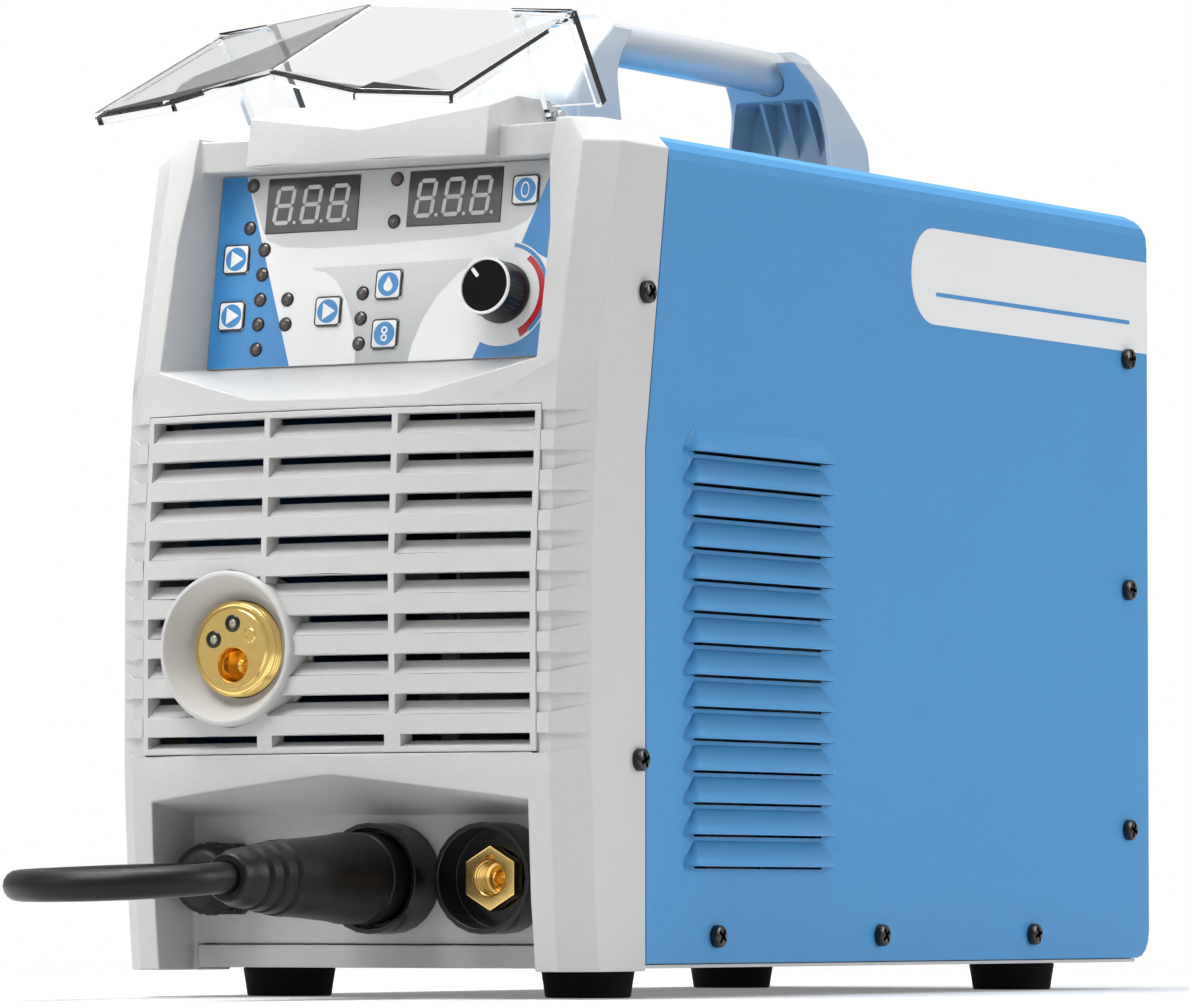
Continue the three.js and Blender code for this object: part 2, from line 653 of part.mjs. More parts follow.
function louvreSlit(k) {
  const z = LOUVRE_TOP_Z - k * LOUVRE_PITCH;
  const [y0, y1] = LOUVRE_Y;
  const out = HALF_W + LOUVRE_OUT - 1.3;
  const inside = HALF_W - SHEET - 1;
  return hull([
    [inside, y0 + 3, z - 1], [inside, y1 - 3, z - 1], [inside, y0 + 4, z + 5],
    [inside, y1 - 4, z + 5], [out, y0 + 6, z - 1], [out, y1 - 6, z - 1],
    [out, y0 + 7, z + 1.2], [out, y1 - 7, z + 1.2],
  ]);
}

// A hinge knuckle: its strap lies over the sheet and is rooted in it away from the pin.
function hingeBarrel(z0, z1, onDoor) {
  const [x, y] = DOOR_AXIS;
  const r = DOOR_BARREL_R;
  const [strapFrom, strapTo] = onDoor ? [y - 8, y] : [y, y + 6];
  const [rootFrom, rootTo] = onDoor ? [y - 8, y - 3] : [y, y + 6];
  return join([
    rodZ(r, x, y, z0, z1, 16),
    box(x, -HALF_W - GAP, strapFrom, strapTo, z0, z1),
    box(x, -HALF_W + GAP, rootFrom, rootTo, z0, z1),
  ]);
}
const CASE_BARRELS = [[40, 58], [262, 280]];
const DOOR_BARRELS = [[58.6, 78], [242, 261.4]];
const pinRod = (r) => rodZ(r, ...DOOR_AXIS, CASE_BARRELS[0][0] - 1, CASE_BARRELS[1][1] + 1, 12);

function caseCover() {
  const across = (inset) => prismY(
    roundedOutline(-HALF_W + inset, HALF_W - inset, GAP - inset * 20, CASE_TOP - inset,
      [0, 0, CASE_EDGE_R - inset, CASE_EDGE_R - inset], 4),
    -20, CASE_LEN + 20);
  const along = (inset, extra) => prismX(
    roundedOutline(-20, CASE_LEN - inset, GAP - extra, CASE_TOP - inset,
      [0, REAR_FOOT_R, REAR_TOP_R - inset, 0], 4),
    -HALF_W - EPS, HALF_W + EPS);
  const outer = across(0).intersect(along(0, 0));
  const rearOpening = box(-HALF_W + SHEET, HALF_W - SHEET, CASE_LEN - 40, CASE_LEN + EPS, -60,
    CASE_TOP - REAR_TOP_R);
  const inner = across(SHEET).intersect(along(SHEET, 40)).add(rearOpening);
  const lean = (z) => bezelRear(z) + GAP;
  const front = prismX([
    [-40, -10], [GAP, -10], [GAP, BEZEL_KNEE_Z], [lean(BEZEL_TOP + 4), BEZEL_TOP + 4],
    [-40, BEZEL_TOP + 4],
  ], -HALF_W - EPS, HALF_W + EPS);
  const doorway = box(-HALF_W - EPS, -HALF_W + SHEET + EPS, ...DOOR_Y, ...DOOR_Z);
  const rows = Array.from({ length: LOUVRES }, (_, k) => k);
  const shell = cut(outer, [inner, front, doorway]);
  const hooded = join([shell, ...rows.map(louvreHood),
    ...CASE_BARRELS.map(([z0, z1]) => hingeBarrel(z0, z1, false))]);
  return cut(hooded, [...rows.map(louvreSlit), pinRod(1.5)]);
}
addPart('case_cover', caseCover(), BLUE);

// ---------------------------------------------------------------- side door
const doorGroup = new THREE.Group();
machine.add(doorGroup);

const LATCH_Y = 46;
const LATCHES = [['door_latch_upper', 246], ['door_latch_lower', 74]];
const LATCH_STEM_R = 4;

function sideDoor() {
  const slack = 0.6;
  const outline = roundedRect(DOOR_Y[0] + slack, DOOR_Y[1] - slack, DOOR_Z[0] + slack,
    DOOR_Z[1] - slack, 3, 2);
  const panel = prismX(outline, -HALF_W, -HALF_W + SHEET);
  const fold = [
    box(-HALF_W + 0.5, -HALF_W + 9, DOOR_Y[0] + 3, DOOR_Y[1] - 12, DOOR_Z[0] + 3, DOOR_Z[0] + 4.5),
    box(-HALF_W + 0.5, -HALF_W + 9, DOOR_Y[0] + 3, DOOR_Y[1] - 12, DOOR_Z[1] - 4.5, DOOR_Z[1] - 3),
  ];
  const barrels = DOOR_BARRELS.map(([z0, z1]) => hingeBarrel(z0, z1, true));
  return cut(join([panel, ...fold, ...barrels]), [
    pinRod(1.5),
    ...LATCHES.map(([, z]) => rodX(LATCH_STEM_R + GAP, -HALF_W - EPS, -HALF_W + 4, LATCH_Y, z)),
  ]);
}
addPart('side_door', sideDoor(), BLUE, doorGroup);

for (const [name, z] of LATCHES) {
  const face = -HALF_W - GAP;
  const knob = join([
    rodX(10, -HALF_W - 2.6, face, LATCH_Y, z, 20),
    box(-HALF_W - LOUVRE_OUT, face, LATCH_Y - 8.6, LATCH_Y + 8.6, z - 1.8, z + 1.8),
    rodX(LATCH_STEM_R, -HALF_W - 1, -HALF_W + 5, LATCH_Y, z, 14),
    box(-HALF_W + SHEET + GAP, -HALF_W + 4.6, LATCH_Y - 12, LATCH_Y + 4, z - 4, z + 4),
  ]);
  addPart(name, knob, BLACK, doorGroup);
}
addPart('door_hinge_pin', pinRod(1.25), STEEL);

// ---------------------------------------------------------------- rear panel
function rearPanel() {
  const half = HALF_W - SHEET - GAP;
  const plate = prismY(roundedOutline(-half, half, 1, 318, [3, 3, 0, 0], 2), REAR_PANEL_Y - SHEET,
    REAR_PANEL_Y);
  const [fx, fz] = FAN_CENTRE;
  const slots = Array.from({ length: 9 }, (_, i) => {
    const dz = (i - 4) * 9;
    const reach = Math.sqrt(42 ** 2 - dz ** 2);
    return [[fx - reach, fx - 2], [fx + 2, fx + reach]].map(([x0, x1]) => box(x0, x1,
      REAR_PANEL_Y - 8, REAR_PANEL_Y + 8, fz + dz - 2.6, fz + dz + 2.6));
  }).flat();
  return cut(plate, [
    ...slots,
    rodY(10.6, MAINS_GLAND[0], REAR_PANEL_Y - 8, REAR_PANEL_Y + 8, MAINS_GLAND[1]),
    rodY(6.6, GAS_INLET[0], REAR_PANEL_Y - 8, REAR_PANEL_Y + 8, GAS_INLET[1]),
    box(SWITCH[0] - 11.2, SWITCH[0] + 11.2, REAR_PANEL_Y - 8, REAR_PANEL_Y + 8, SWITCH[1] - 14.4,
      SWITCH[1] + 14.4),
  ]);
}
addPart('rear_panel', rearPanel(), BLUE);

function mainsGland() {
  const [x, z] = MAINS_GLAND;
  const y = REAR_PANEL_Y;
  const body = join([
    rodY(15, x, y + GAP, y + 7, z, 6),
    rodY(12.4, x, y + 6.6, y + 15, z, 16),
    rodY(10.2, x, y - 12, y + 2, z, 16),
    rodY(15, x, y - 9, y - SHEET - GAP, z, 6),
  ]);
  return cut(body, [rodY(5.5, x, y - 30, y + 30, z, 14)]);
}
addPart('mains_gland', mainsGland(), BLACK);

function gasValve() {
  const [x, z] = GAS_INLET;
  const y = REAR_PANEL_Y;
  const body = join([
    rodY(4, x, y + 6, y + 16, z, 16),
    rodY(9, x, y + GAP, y + 7, z, 6),
    rodY(6.2, x, y - 12, y + 2, z, 14),
    box(x - 13, x + 13, y - 42, y - 10, z - 13, z + 13),
    rodZ(11, x, y - 26, z + 12, z + 20, 20),
  ]);
  return cut(body, [rodY(2.2, x, y - 20, y + 30, z, 12)]);
}
addPart('gas_valve', gasValve(), BRASS);

const [switchX, switchZ] = SWITCH;
function switchFrame() {
  const y = REAR_PANEL_Y;
  const rim = box(switchX - 13, switchX + 13, y + GAP, y + 2.6, switchZ - 16.5, switchZ + 16.5);
  const body = box(switchX - 10.8, switchX + 10.8, y - 20, y + 1, switchZ - 14, switchZ + 14);
  const well = box(switchX - 8.9, switchX + 8.9, y - 12, y + 9, switchZ - 12.4, switchZ + 12.4);
  return cut(rim.add(body), [well]);
}
addPart('switch_frame', switchFrame(), BLACK);

const ROCKER_AXIS_Y = REAR_PANEL_Y - 3.4;
const ROCKER_TILT = THREE.MathUtils.degToRad(10);
const rockerGroup = new THREE.Group();
rockerGroup.position.set(switchX, ROCKER_AXIS_Y, switchZ);
rockerGroup.rotation.x = -ROCKER_TILT;
machine.add(rockerGroup);
const rocker = prismX([
  [-2.5, -6], [-2.5, 6], [0, 10.6], [6.2, 11], [4.4, 0], [6.2, -11], [0, -10.6],
], -8.4, 8.4);
addPart('power_switch_rocker', rocker, RUBBER, rockerGroup);

// ---------------------------------------------------------------- carrying handle
// Height, outer and inner face (Y from the handle's middle), half width.
const HANDLE_STATIONS = [
  [CASE_TOP + GAP, 130, 90, 27.5], [351, 129.7, 90, 26], [360, 128, 90, 25],
  [372, 117, 88, 23], [382, 105, 81, 21.5], [390, 91.5, 70.5, 19.5], [393.5, 87, 70.5, 18.7],
  [397.5, 85, 71.5, 14.5],
];

// One end of the handle: sign -1 is the front, +1 the rear.
function handleSupport(sign) {
  const rings = HANDLE_STATIONS.map(([z, outer, inner, half]) => {
    const bevel = 4;
    const yo = HANDLE_MID_Y + sign * outer;
    const yi = HANDLE_MID_Y + sign * inner;
    const yb = HANDLE_MID_Y + sign * (outer - bevel);
    return [[-half, yi, z], [-half, yb, z], [-half + bevel, yo, z], [half - bevel, yo, z],
      [half, yb, z], [half, yi, z]];
  });
  const y0 = HANDLE_MID_Y + sign * 60;
  const seatEnd = HANDLE_MID_Y + sign * (GRIP_END + GAP);
  const [ya, yb] = sign > 0 ? [y0, seatEnd] : [seatEnd, y0];
  const pocketFrom = HANDLE_MID_Y + sign * 80;
  const pocketTo = HANDLE_MID_Y + sign * 98;
  const pocketY = [pocketFrom, pocketTo].sort((a, b) => a - b);
  return cut(loft(rings), [
    rodY(GRIP_R + GAP, 0, ya, yb, GRIP_Z, 20),
    box(-40, 40, ya, yb, GRIP_Z + 4, CASE_TOP + 90),
    box(-21, -3, ...pocketY, CASE_TOP + 6, 371),
    box(3, 21, ...pocketY, CASE_TOP + 6, 371),
  ]);
}
addPart('handle_front_support', handleSupport(-1), HANDLE_GREY);
addPart('handle_rear_support', handleSupport(1), HANDLE_GREY);
addPart('handle_grip', rodY(GRIP_R, 0, HANDLE_MID_Y - GRIP_END, HANDLE_MID_Y + GRIP_END, GRIP_Z,
  28), HANDLE_GREY);

// ---------------------------------------------------------------- clear cover
// Laid out shut, about its hinge: [x, y, z] from the hinge axis. Left half, outer face.
const coverGroup = new THREE.Group();
coverGroup.position.set(0, ...COVER_AXIS);
coverGroup.rotation.x = -COVER_OPEN;
machine.add(coverGroup);

// The two halves overlap a little across the middle, so that they join as one piece.
const COVER_OVERLAP = 0.4;
const COVER_FACE = [
  [-COVER_HALF_W, -47, 1], [COVER_OVERLAP, -63.8, -13.8], [COVER_OVERLAP, -79, -93.3],
  [-43, -74, -104.5], [-COVER_HALF_W, -67.8, -100.2],
];
const COVER_NORMAL = [-0.158, -0.967, 0.199];
const pushed = (point, depth) => point.map((c, i) => c - COVER_NORMAL[i] * depth);
const shifted = (point, [dx, dy, dz]) => [point[0] + dx, point[1] + dy, point[2] + dz];

// A rib along one edge of the face, as deep as the cover's rim. It starts a little inside
// the plate on every side, so that no two faces of the pieces lie in one plane.
function coverLip(a, b, inwards) {
  const inset = 0.5;
  const along = v(...b).sub(v(...a)).setLength(inset).toArray();
  const back = along.map((c) => -c);
  const nudge = inwards.map((c) => c * 0.1);
  const edge = [shifted(a, along), shifted(b, back)]
    .flatMap((p) => [shifted(p, nudge), shifted(p, inwards)]);
  return hull([...edge.map((p) => pushed(p, inset)), ...edge.map((p) => pushed(p, COVER_LIP))]);
}

function coverHalf() {
  const [topSide, , footMid, footBend, footSide] = COVER_FACE;
  const arm = { x0: -COVER_HALF_W, x1: -VISOR_HALF_W - 0.5, y0: -47, y1: -5.5, top: 1 };
  const rib = (x0, y1) => box(x0, x0 + COVER_T, arm.y0 + 1, y1, arm.top - COVER_LIP,
    arm.top - 0.5);
  const eyeX = arm.x1 - COVER_T;
  const solidHalf = join([
    hull([...COVER_FACE, ...COVER_FACE.map((p) => pushed(p, COVER_T))]),
    coverLip(topSide, footSide, [COVER_T, 0, 0]),
    coverLip(footSide, footBend, [0, 0.3, COVER_T]),
    coverLip(footBend, footMid, [0, 0.3, COVER_T]),
    box(arm.x0, arm.x1, arm.y0, arm.y1, arm.top - COVER_T, arm.top),
    hull([[arm.x0 + 0.2, -46.8, 0.8], [arm.x1 - 0.2, -46.8, 0.8], [arm.x0 + 0.2, -44, -1.3],
      [arm.x1 - 0.2, -44, -1.3], [arm.x0 + 0.2, -49.3, -2], [arm.x1 - 0.2, -53.2, -5],
      [arm.x0 + 0.2, -47.6, -2.8], [arm.x1 - 0.2, -51, -5.8]]),
    rib(arm.x0, arm.y1),
    rib(eyeX, 0),
    rodX(4.4, eyeX, arm.x1, 0, 0, 14),
  ]);
  return cut(solidHalf, [rodX(2, eyeX - 1, arm.x1 + 1, 0, 0, 16)]);
}

function clearCover() {
  const half = coverHalf();
  return half.add(half.mirror([1, 0, 0]));
}
addPart('clear_cover', clearCover(), CLEAR, coverGroup);

for (const [name, sign] of [['cover_pin_left', -1], ['cover_pin_right', 1]]) {
  const inner = VISOR_HALF_W - WALL - 2;
  const outer = VISOR_HALF_W + 0.5 + COVER_T + GAP;
  const pin = rodX(1.6, inner, outer + 1, 0, 0, 16).add(rodX(2.7, outer, outer + 2, 0, 0, 16));
  const placed = sign > 0 ? pin : pin.mirror([1, 0, 0]);
  addPart(name, placed.translate([0, ...COVER_AXIS]), STEEL);
}

// ---------------------------------------------------------------- control panel
const OVERLAY_FRONT = -GAP - OVERLAY_T;

function panelOverlay() {
  const sheet = prismY(roundedRect(-PANEL_HALF_W, PANEL_HALF_W, -PANEL_HALF_H, PANEL_HALF_H, 2, 2),
    OVERLAY_FRONT, -GAP);
  return cut(sheet, panelCutters(OVERLAY_FRONT - EPS, EPS, GAP));
}
addPart('panel_overlay', panelOverlay(), WHITE, panelGroup);

DISPLAYS.forEach(([x, z], i) => {
  const [dw, dh] = DISPLAY_HALF;
  const pane = box(x - dw, x + dw, OVERLAY_FRONT - 0.3, 6.4, z - dh, z + dh);
  addPart(i === 0 ? 'display_left' : 'display_right', pane, GLASS_DARK, panelGroup);
});

// The lamps are domes on one board behind the panel wall.
function indicatorBoard() {
  const face = 6.8;
  const lamp = ([x, z]) => turnedY([
    [0, OVERLAY_FRONT - 1], [1.5, OVERLAY_FRONT - 0.6], [LAMP_R, OVERLAY_FRONT + 0.6],
    [LAMP_R, face + 0.4], [0, face + 0.4],
  ], x, z, 8);
  const board = box(-79, 45, face, face + 1.6, -36, 39);
  const keyWells = KEYS.map(([x, z]) => box(x - 8, x + 8, face - 1, face + 3, z - 8, z + 8));
  return cut(join([board, ...LAMPS.map(lamp)]), keyWells);
}
addPart('indicator_board', indicatorBoard(), LED_GREY, panelGroup);

const KEY_NAMES = ['key_trigger_mode', 'key_process', 'key_gas_mode', 'key_gas_test', 'key_inch',
  'key_function'];
KEYS.forEach(([x, z], i) => {
  const k = KEY_HALF;
  const cap = prismY(roundedRect(x - k, x + k, z - k, z + k, 1.5, 1), OVERLAY_FRONT - 1, 7);
  const collar = box(x - k - 1.6, x + k + 1.6, PANEL_WALL + 3.8, 8, z - k - 1.6, z + k + 1.6);
  addPart(KEY_NAMES[i], cap.add(collar), WHITE, panelGroup);
});

function encoderKnob() {
  const [x, z] = KNOB;
  const face = OVERLAY_FRONT - 0.4;
  const skirt = turnedY([
    [0, face], [12.3, face], [12.1, face - 3], [11.2, face - 15.4], [10.4, face - 16.4],
    [10, face - 16.4], [9.6, face - 15.9], [0, face - 15.9],
  ], x, z, 16);
  const shaft = rodY(KNOB_SHAFT_R, x, face - 2, 9, z, 14);
  const mark = box(x - 0.5, x + 0.5, face - 17, face - 15, z + 4, z + 9);
  return skirt.add(shaft).add(mark);
}
addPart('encoder_knob', encoderKnob(), BLACK, panelGroup);

const [knobX, knobZ] = KNOB;
const encoder = box(knobX - 7, knobX + 7, PANEL_WALL + 0.6, 14, knobZ - 7, knobZ + 7)
  .subtract(rodY(KNOB_SHAFT_R + GAP, knobX, 0, 10, knobZ, 20));
addPart('encoder_body', encoder, ZINC, panelGroup);

// ---------------------------------------------------------------- wire side
function dividerPlate() {
  const plate = prismX([[29, GAP], [434, GAP], [434, 316], [29, 316]], DIVIDER_X,
    DIVIDER_X + SHEET);
  return cut(plate, [
    rodX(7, 0, 9, ...SPOOL_CENTRE.slice(1)),
    rodX(17, 0, 9, ROLL_Y, EURO[1] - DRIVE_R - 0.6),
    prismX(roundedRect(40, 60, 250, 290, 4, 2), 0, 9),
  ]);
}
addPart('divider_plate', dividerPlate(), ZINC);

const [spoolX, spoolY, spoolZ] = SPOOL_CENTRE;
const HUB_R = 25;
const spoolEnd = spoolX - SPOOL_HALF_W;

const hub = join([
  rodX(18, spoolX + SPOOL_HALF_W + 4, DIVIDER_X - GAP, spoolY, spoolZ, 20),
  rodX(HUB_R - 1.2, spoolEnd + 3, spoolX + SPOOL_HALF_W + 3.8, spoolY, spoolZ, 20),
  rodX(32, spoolX + SPOOL_HALF_W + 3.5, spoolX + SPOOL_HALF_W + 6, spoolY, spoolZ, 20),
  rodX(6, DIVIDER_X - 1, DIVIDER_X + SHEET + 4, spoolY, spoolZ, 14),
  rodX(6, spoolEnd - 12, spoolEnd + 4, spoolY, spoolZ, 14),
]);
addPart('spool_hub', hub, BLACK);

function spoolNut() {
  const grip = rodX(17, spoolEnd - 11, spoolEnd - 2, spoolY, spoolZ, 10);
  return cut(grip, [rodX(6 + GAP, spoolEnd - 20, spoolEnd, spoolY, spoolZ, 14)]);
}
addPart('spool_nut', spoolNut(), BLACK);

function wireSpool() {
  const w = SPOOL_HALF_W;
  const profile = [
    [HUB_R, spoolX - w], [SPOOL_R, spoolX - w], [SPOOL_R, spoolX - w + 3], [46, spoolX - w + 3],
    [46, spoolX + w - 3], [SPOOL_R, spoolX + w - 3], [SPOOL_R, spoolX + w], [HUB_R, spoolX + w],
    [HUB_R, spoolX - w],
  ];
  const windows = Array.from({ length: 6 }, (_, i) => {
    const angle = (i * Math.PI) / 3;
    return rodX(13, spoolX - w - 5, spoolX + w + 5, spoolY + 70 * Math.cos(angle),
      spoolZ + 70 * Math.sin(angle), 8);
  });
  return cut(turnedX(profile, spoolY, spoolZ, 20), windows);
}
addPart('wire_spool', wireSpool(), BLACK);

const windingProfile = [
  [46 + GAP, spoolX - SPOOL_HALF_W + 3 + GAP], [82, spoolX - SPOOL_HALF_W + 3 + GAP],
  [82, spoolX + SPOOL_HALF_W - 3 - GAP], [46 + GAP, spoolX + SPOOL_HALF_W - 3 - GAP],
  [46 + GAP, spoolX - SPOOL_HALF_W + 3 + GAP],
];
addPart('wire_winding', turnedX(windingProfile, spoolY, spoolZ, 20), COPPER);

// Wire feeder: a cast plate on the divider, a driven roll and a sprung arm over it.
const FEED_X = EURO[0];
const feedZ = EURO[1];
const driveZ = feedZ - DRIVE_R - 0.6;
const idlerZ = feedZ + IDLER_R + 0.6;
const PLATE_X = -26;
const ARM_PIVOT = [ROLL_Y + 34, feedZ + 12];

function feederPlate() {
  const outline = [
    [ROLL_Y - 44, feedZ - 44], [ROLL_Y + 48, feedZ - 44], [ROLL_Y + 48, feedZ + 24],
    [ROLL_Y + 26, feedZ + 24], [ROLL_Y + 24, feedZ + 2], [ROLL_Y - 44, feedZ + 2],
  ];
  const guideIn = rodY(4.5, FEED_X, ROLL_Y + 24, ROLL_Y + 46, feedZ, 16);
  const guideOut = rodY(4.5, FEED_X, ROLL_Y - 46, ROLL_Y - 24, feedZ, 16);
  return cut(join([
    prismX(outline, PLATE_X, PLATE_X + 8),
    box(FEED_X - 4, PLATE_X + 1, ROLL_Y + 26, ROLL_Y + 44, feedZ - 10, feedZ - 3),
    box(FEED_X - 4, PLATE_X + 1, ROLL_Y - 44, ROLL_Y - 26, feedZ - 10, feedZ - 3),
    guideIn, guideOut,
    rodX(3.5, FEED_X - 12, PLATE_X + 1, ...ARM_PIVOT, 16),
    rodX(4, PLATE_X + 7, DIVIDER_X - GAP, ROLL_Y - 36, feedZ - 36, 12),
    rodX(4, PLATE_X + 7, DIVIDER_X - GAP, ROLL_Y + 40, feedZ - 36, 12),
    rodX(4, PLATE_X + 7, DIVIDER_X - GAP, ROLL_Y + 40, feedZ + 16, 12),
  ]), [
    rodX(12, PLATE_X - 5, PLATE_X + 12, ROLL_Y, driveZ, 14),
    rodY(1.2, FEED_X, ROLL_Y - 60, ROLL_Y + 60, feedZ, 8),
  ]);
}
addPart('feeder_plate', feederPlate(), ALUMINIUM);

const feedMotor = join([
  rodX(28, DIVIDER_X + SHEET + GAP + 6, DIVIDER_X + 78, ROLL_Y, driveZ, 20),
  rodX(16, PLATE_X + 8 + GAP, DIVIDER_X + 10, ROLL_Y, driveZ, 16),
]);
addPart('feed_motor', feedMotor, ZINC);

const driveRoll = turnedX([
  [4, FEED_X - 6], [DRIVE_R, FEED_X - 6], [DRIVE_R, FEED_X - 0.9], [DRIVE_R - 0.8, FEED_X],
  [DRIVE_R, FEED_X + 0.9], [DRIVE_R, FEED_X + 6], [9, FEED_X + 6], [9, PLATE_X + 7],
  [4, PLATE_X + 7], [4, FEED_X - 6],
], ROLL_Y, driveZ, 14);
addPart('drive_roll', driveRoll.add(rodX(4.2, FEED_X - 9, PLATE_X + 6, ROLL_Y, driveZ, 16)), STEEL);

function pressureArm() {
  const [py, pz] = ARM_PIVOT;
  const x0 = FEED_X - 8.5;
  const cheek = prismX([
    [py + 2, pz - 5.5], [py + 6, pz - 1], [py + 7, pz + 7], [ROLL_Y + 14, idlerZ + 24],
    [ROLL_Y - 26, idlerZ + 24],
    [ROLL_Y - 26, idlerZ + 16], [ROLL_Y - 8, idlerZ + 8], [ROLL_Y - 8, idlerZ - 6],
    [ROLL_Y + 12, idlerZ - 6], [ROLL_Y + 24, pz - 2],
  ], x0, x0 + 17);
  const rollRoom = rodX(IDLER_R + 1.5, FEED_X - 5.6, FEED_X + 5.6, ROLL_Y, idlerZ, 16);
  return cut(cheek, [
    rollRoom,
    rodX(3.5 + GAP, x0 - 5, x0 + 25, py, pz, 16),
    rodX(2.6 + GAP, x0 - 5, x0 + 25, ROLL_Y, idlerZ, 16),
    rodZ(3 + GAP, FEED_X, ROLL_Y - 19, 0, 300, 16),
  ]);
}
addPart('pressure_arm', pressureArm(), ALUMINIUM);

const idlerRoll = rodX(IDLER_R, FEED_X - 5.2, FEED_X + 5.2, ROLL_Y, idlerZ, 20)
  .add(rodX(2.6, FEED_X - 9, FEED_X + 9, ROLL_Y, idlerZ, 16));
addPart('idler_roll', idlerRoll, STEEL);

const tensionKnob = join([
  rodZ(3, FEED_X, ROLL_Y - 19, idlerZ + 12, idlerZ + 30, 16),
  rodZ(8.5, FEED_X, ROLL_Y - 19, idlerZ + 24 + GAP, idlerZ + 42, 12),
]);
addPart('tension_knob', tensionKnob, BLACK);

// ---------------------------------------------------------------- power side
const mainBoard = join([
  box(12, 14, 50, 330, 175, 300),
  box(14 - 0.2, 34, 70, 100, 190, 215), rodX(15, 14 - 0.2, 56, 150, 205, 24),
  rodX(15, 14 - 0.2, 56, 190, 205, 24), box(14 - 0.2, 30, 230, 300, 250, 290),
  box(14 - 0.2, 26, 60, 120, 250, 285),
]);
addPart('main_board', mainBoard, BOARD_GREEN);

function heatsink() {
  const fins = Array.from({ length: 9 }, (_, i) => box(20 + i * 9, 22.2 + i * 9, 200, 330, 40, 88));
  return join([box(18, 96, 200, 330, 84, 92), ...fins]);
}
addPart('heatsink', heatsink(), ALUMINIUM);

const transformer = join([
  box(30, 90, 60, 130, 2, 68), box(24, 96, 74, 116, 12, 58), box(40, 80, 66, 124, 66, 72),
]);
addPart('transformer', transformer, COPPER);

// ---------------------------------------------------------------- cooling fan
const [fanX, fanZ] = FAN_CENTRE;
const FAN_BACK_Y = REAR_PANEL_Y - SHEET - GAP;
function fanFrame() {
  const half = FAN_SIZE / 2;
  const shell = prismY(roundedRect(fanX - half, fanX + half, fanZ - half, fanZ + half, 5, 2),
    FAN_BACK_Y - 25, FAN_BACK_Y);
  const duct = rodY(half - 3, fanX, FAN_BACK_Y - 30, FAN_BACK_Y + 5, fanZ, 24);
  const motor = rodY(13, fanX, FAN_BACK_Y - 25, FAN_BACK_Y - 21, fanZ, 20);
  const arms = [
    box(fanX - half + 1, fanX + half - 1, FAN_BACK_Y - 25, FAN_BACK_Y - 22, fanZ - 1.5, fanZ + 1.5),
    box(fanX - 1.5, fanX + 1.5, FAN_BACK_Y - 25, FAN_BACK_Y - 22, fanZ - half + 1, fanZ + half - 1),
  ];
  return join([shell.subtract(duct), motor, ...arms]);
}
addPart('fan_frame', fanFrame(), BLACK);

function fanBlades() {
  const r = FAN_SIZE / 2 - 5;
  const blade = hull([
    [10, -9, -5], [10, -8, -5], [10, 7, 5], [10, 8, 5], [r, -8, -11], [r, -7, -11],
    [r, 6, 9], [r, 7, 9],
  ]);
  const blades = Array.from({ length: 7 }, (_, i) => blade.rotate([0, (i * 360) / 7, 0]));
  const rotor = join([rodY(15, 0, -9, 9, 0, 28), ...blades]);
  return rotor.translate([fanX, FAN_BACK_Y - 11, fanZ]);
}
addPart('fan_blades', fanBlades(), BLACK);

// ---------------------------------------------------------------- onto the floor
// The origin is under the middle of the machine, its jumper and plug left out.
const loose = new Set(['polarity_cable', 'polarity_plug']);
machine.updateMatrixWorld(true);
const extent = new THREE.Box3();
machine.traverse((node) => {
  if (node.isMesh && !loose.has(node.name)) {
    extent.expandByObject(node, true);
  }
});
const centre = extent.getCenter(new THREE.Vector3());
machine.position.set(-centre.x, -centre.y, -FLOOR_Z);

export default machine;
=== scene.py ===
import math

import bmesh
import bpy
from mathutils import Matrix, Vector


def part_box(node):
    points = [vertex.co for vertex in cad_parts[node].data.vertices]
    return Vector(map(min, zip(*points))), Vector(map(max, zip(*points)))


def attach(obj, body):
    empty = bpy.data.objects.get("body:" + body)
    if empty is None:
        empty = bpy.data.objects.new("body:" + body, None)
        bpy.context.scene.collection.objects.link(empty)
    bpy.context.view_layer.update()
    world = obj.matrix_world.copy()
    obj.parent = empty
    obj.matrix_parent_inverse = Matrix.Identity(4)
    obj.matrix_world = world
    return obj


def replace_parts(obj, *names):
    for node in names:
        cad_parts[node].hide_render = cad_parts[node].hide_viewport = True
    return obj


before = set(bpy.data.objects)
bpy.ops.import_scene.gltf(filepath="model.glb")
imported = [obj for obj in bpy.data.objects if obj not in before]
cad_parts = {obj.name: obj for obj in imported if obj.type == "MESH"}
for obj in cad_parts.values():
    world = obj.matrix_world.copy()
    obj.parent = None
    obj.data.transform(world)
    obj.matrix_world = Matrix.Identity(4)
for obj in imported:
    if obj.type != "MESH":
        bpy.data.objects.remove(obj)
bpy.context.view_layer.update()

# Lengths below are in millimetres, in the CAD source's own coordinates: Z = 0 is the
# underside of the blue case and Y = 0 is where the front bezel meets it.
MM = 0.001
CASE_LEN = 448
TRAY_T = 1.5
CASE_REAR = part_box("case_cover")[1].y
TRAY_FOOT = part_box("base_tray")[0].z
ORIGIN = Vector((0, CASE_REAR - CASE_LEN * MM, TRAY_FOOT + TRAY_T * MM))
PLACE = Matrix.Translation(ORIGIN) @ Matrix.Scale(MM, 4)
FLOOR_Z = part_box("foot_front_left")[0].z

HALF_W = 110
PANEL_TILT = math.radians(8.6)
PANEL_CENTRE = (0, -15.24, 281)
PANEL_HALF = (83.6, 40)
OVERLAY_FRONT = -1.3  # the overlay's face, along the panel's own Y
PANEL = PLACE @ Matrix.Translation(PANEL_CENTRE) @ Matrix.Rotation(-PANEL_TILT, 4, "X")

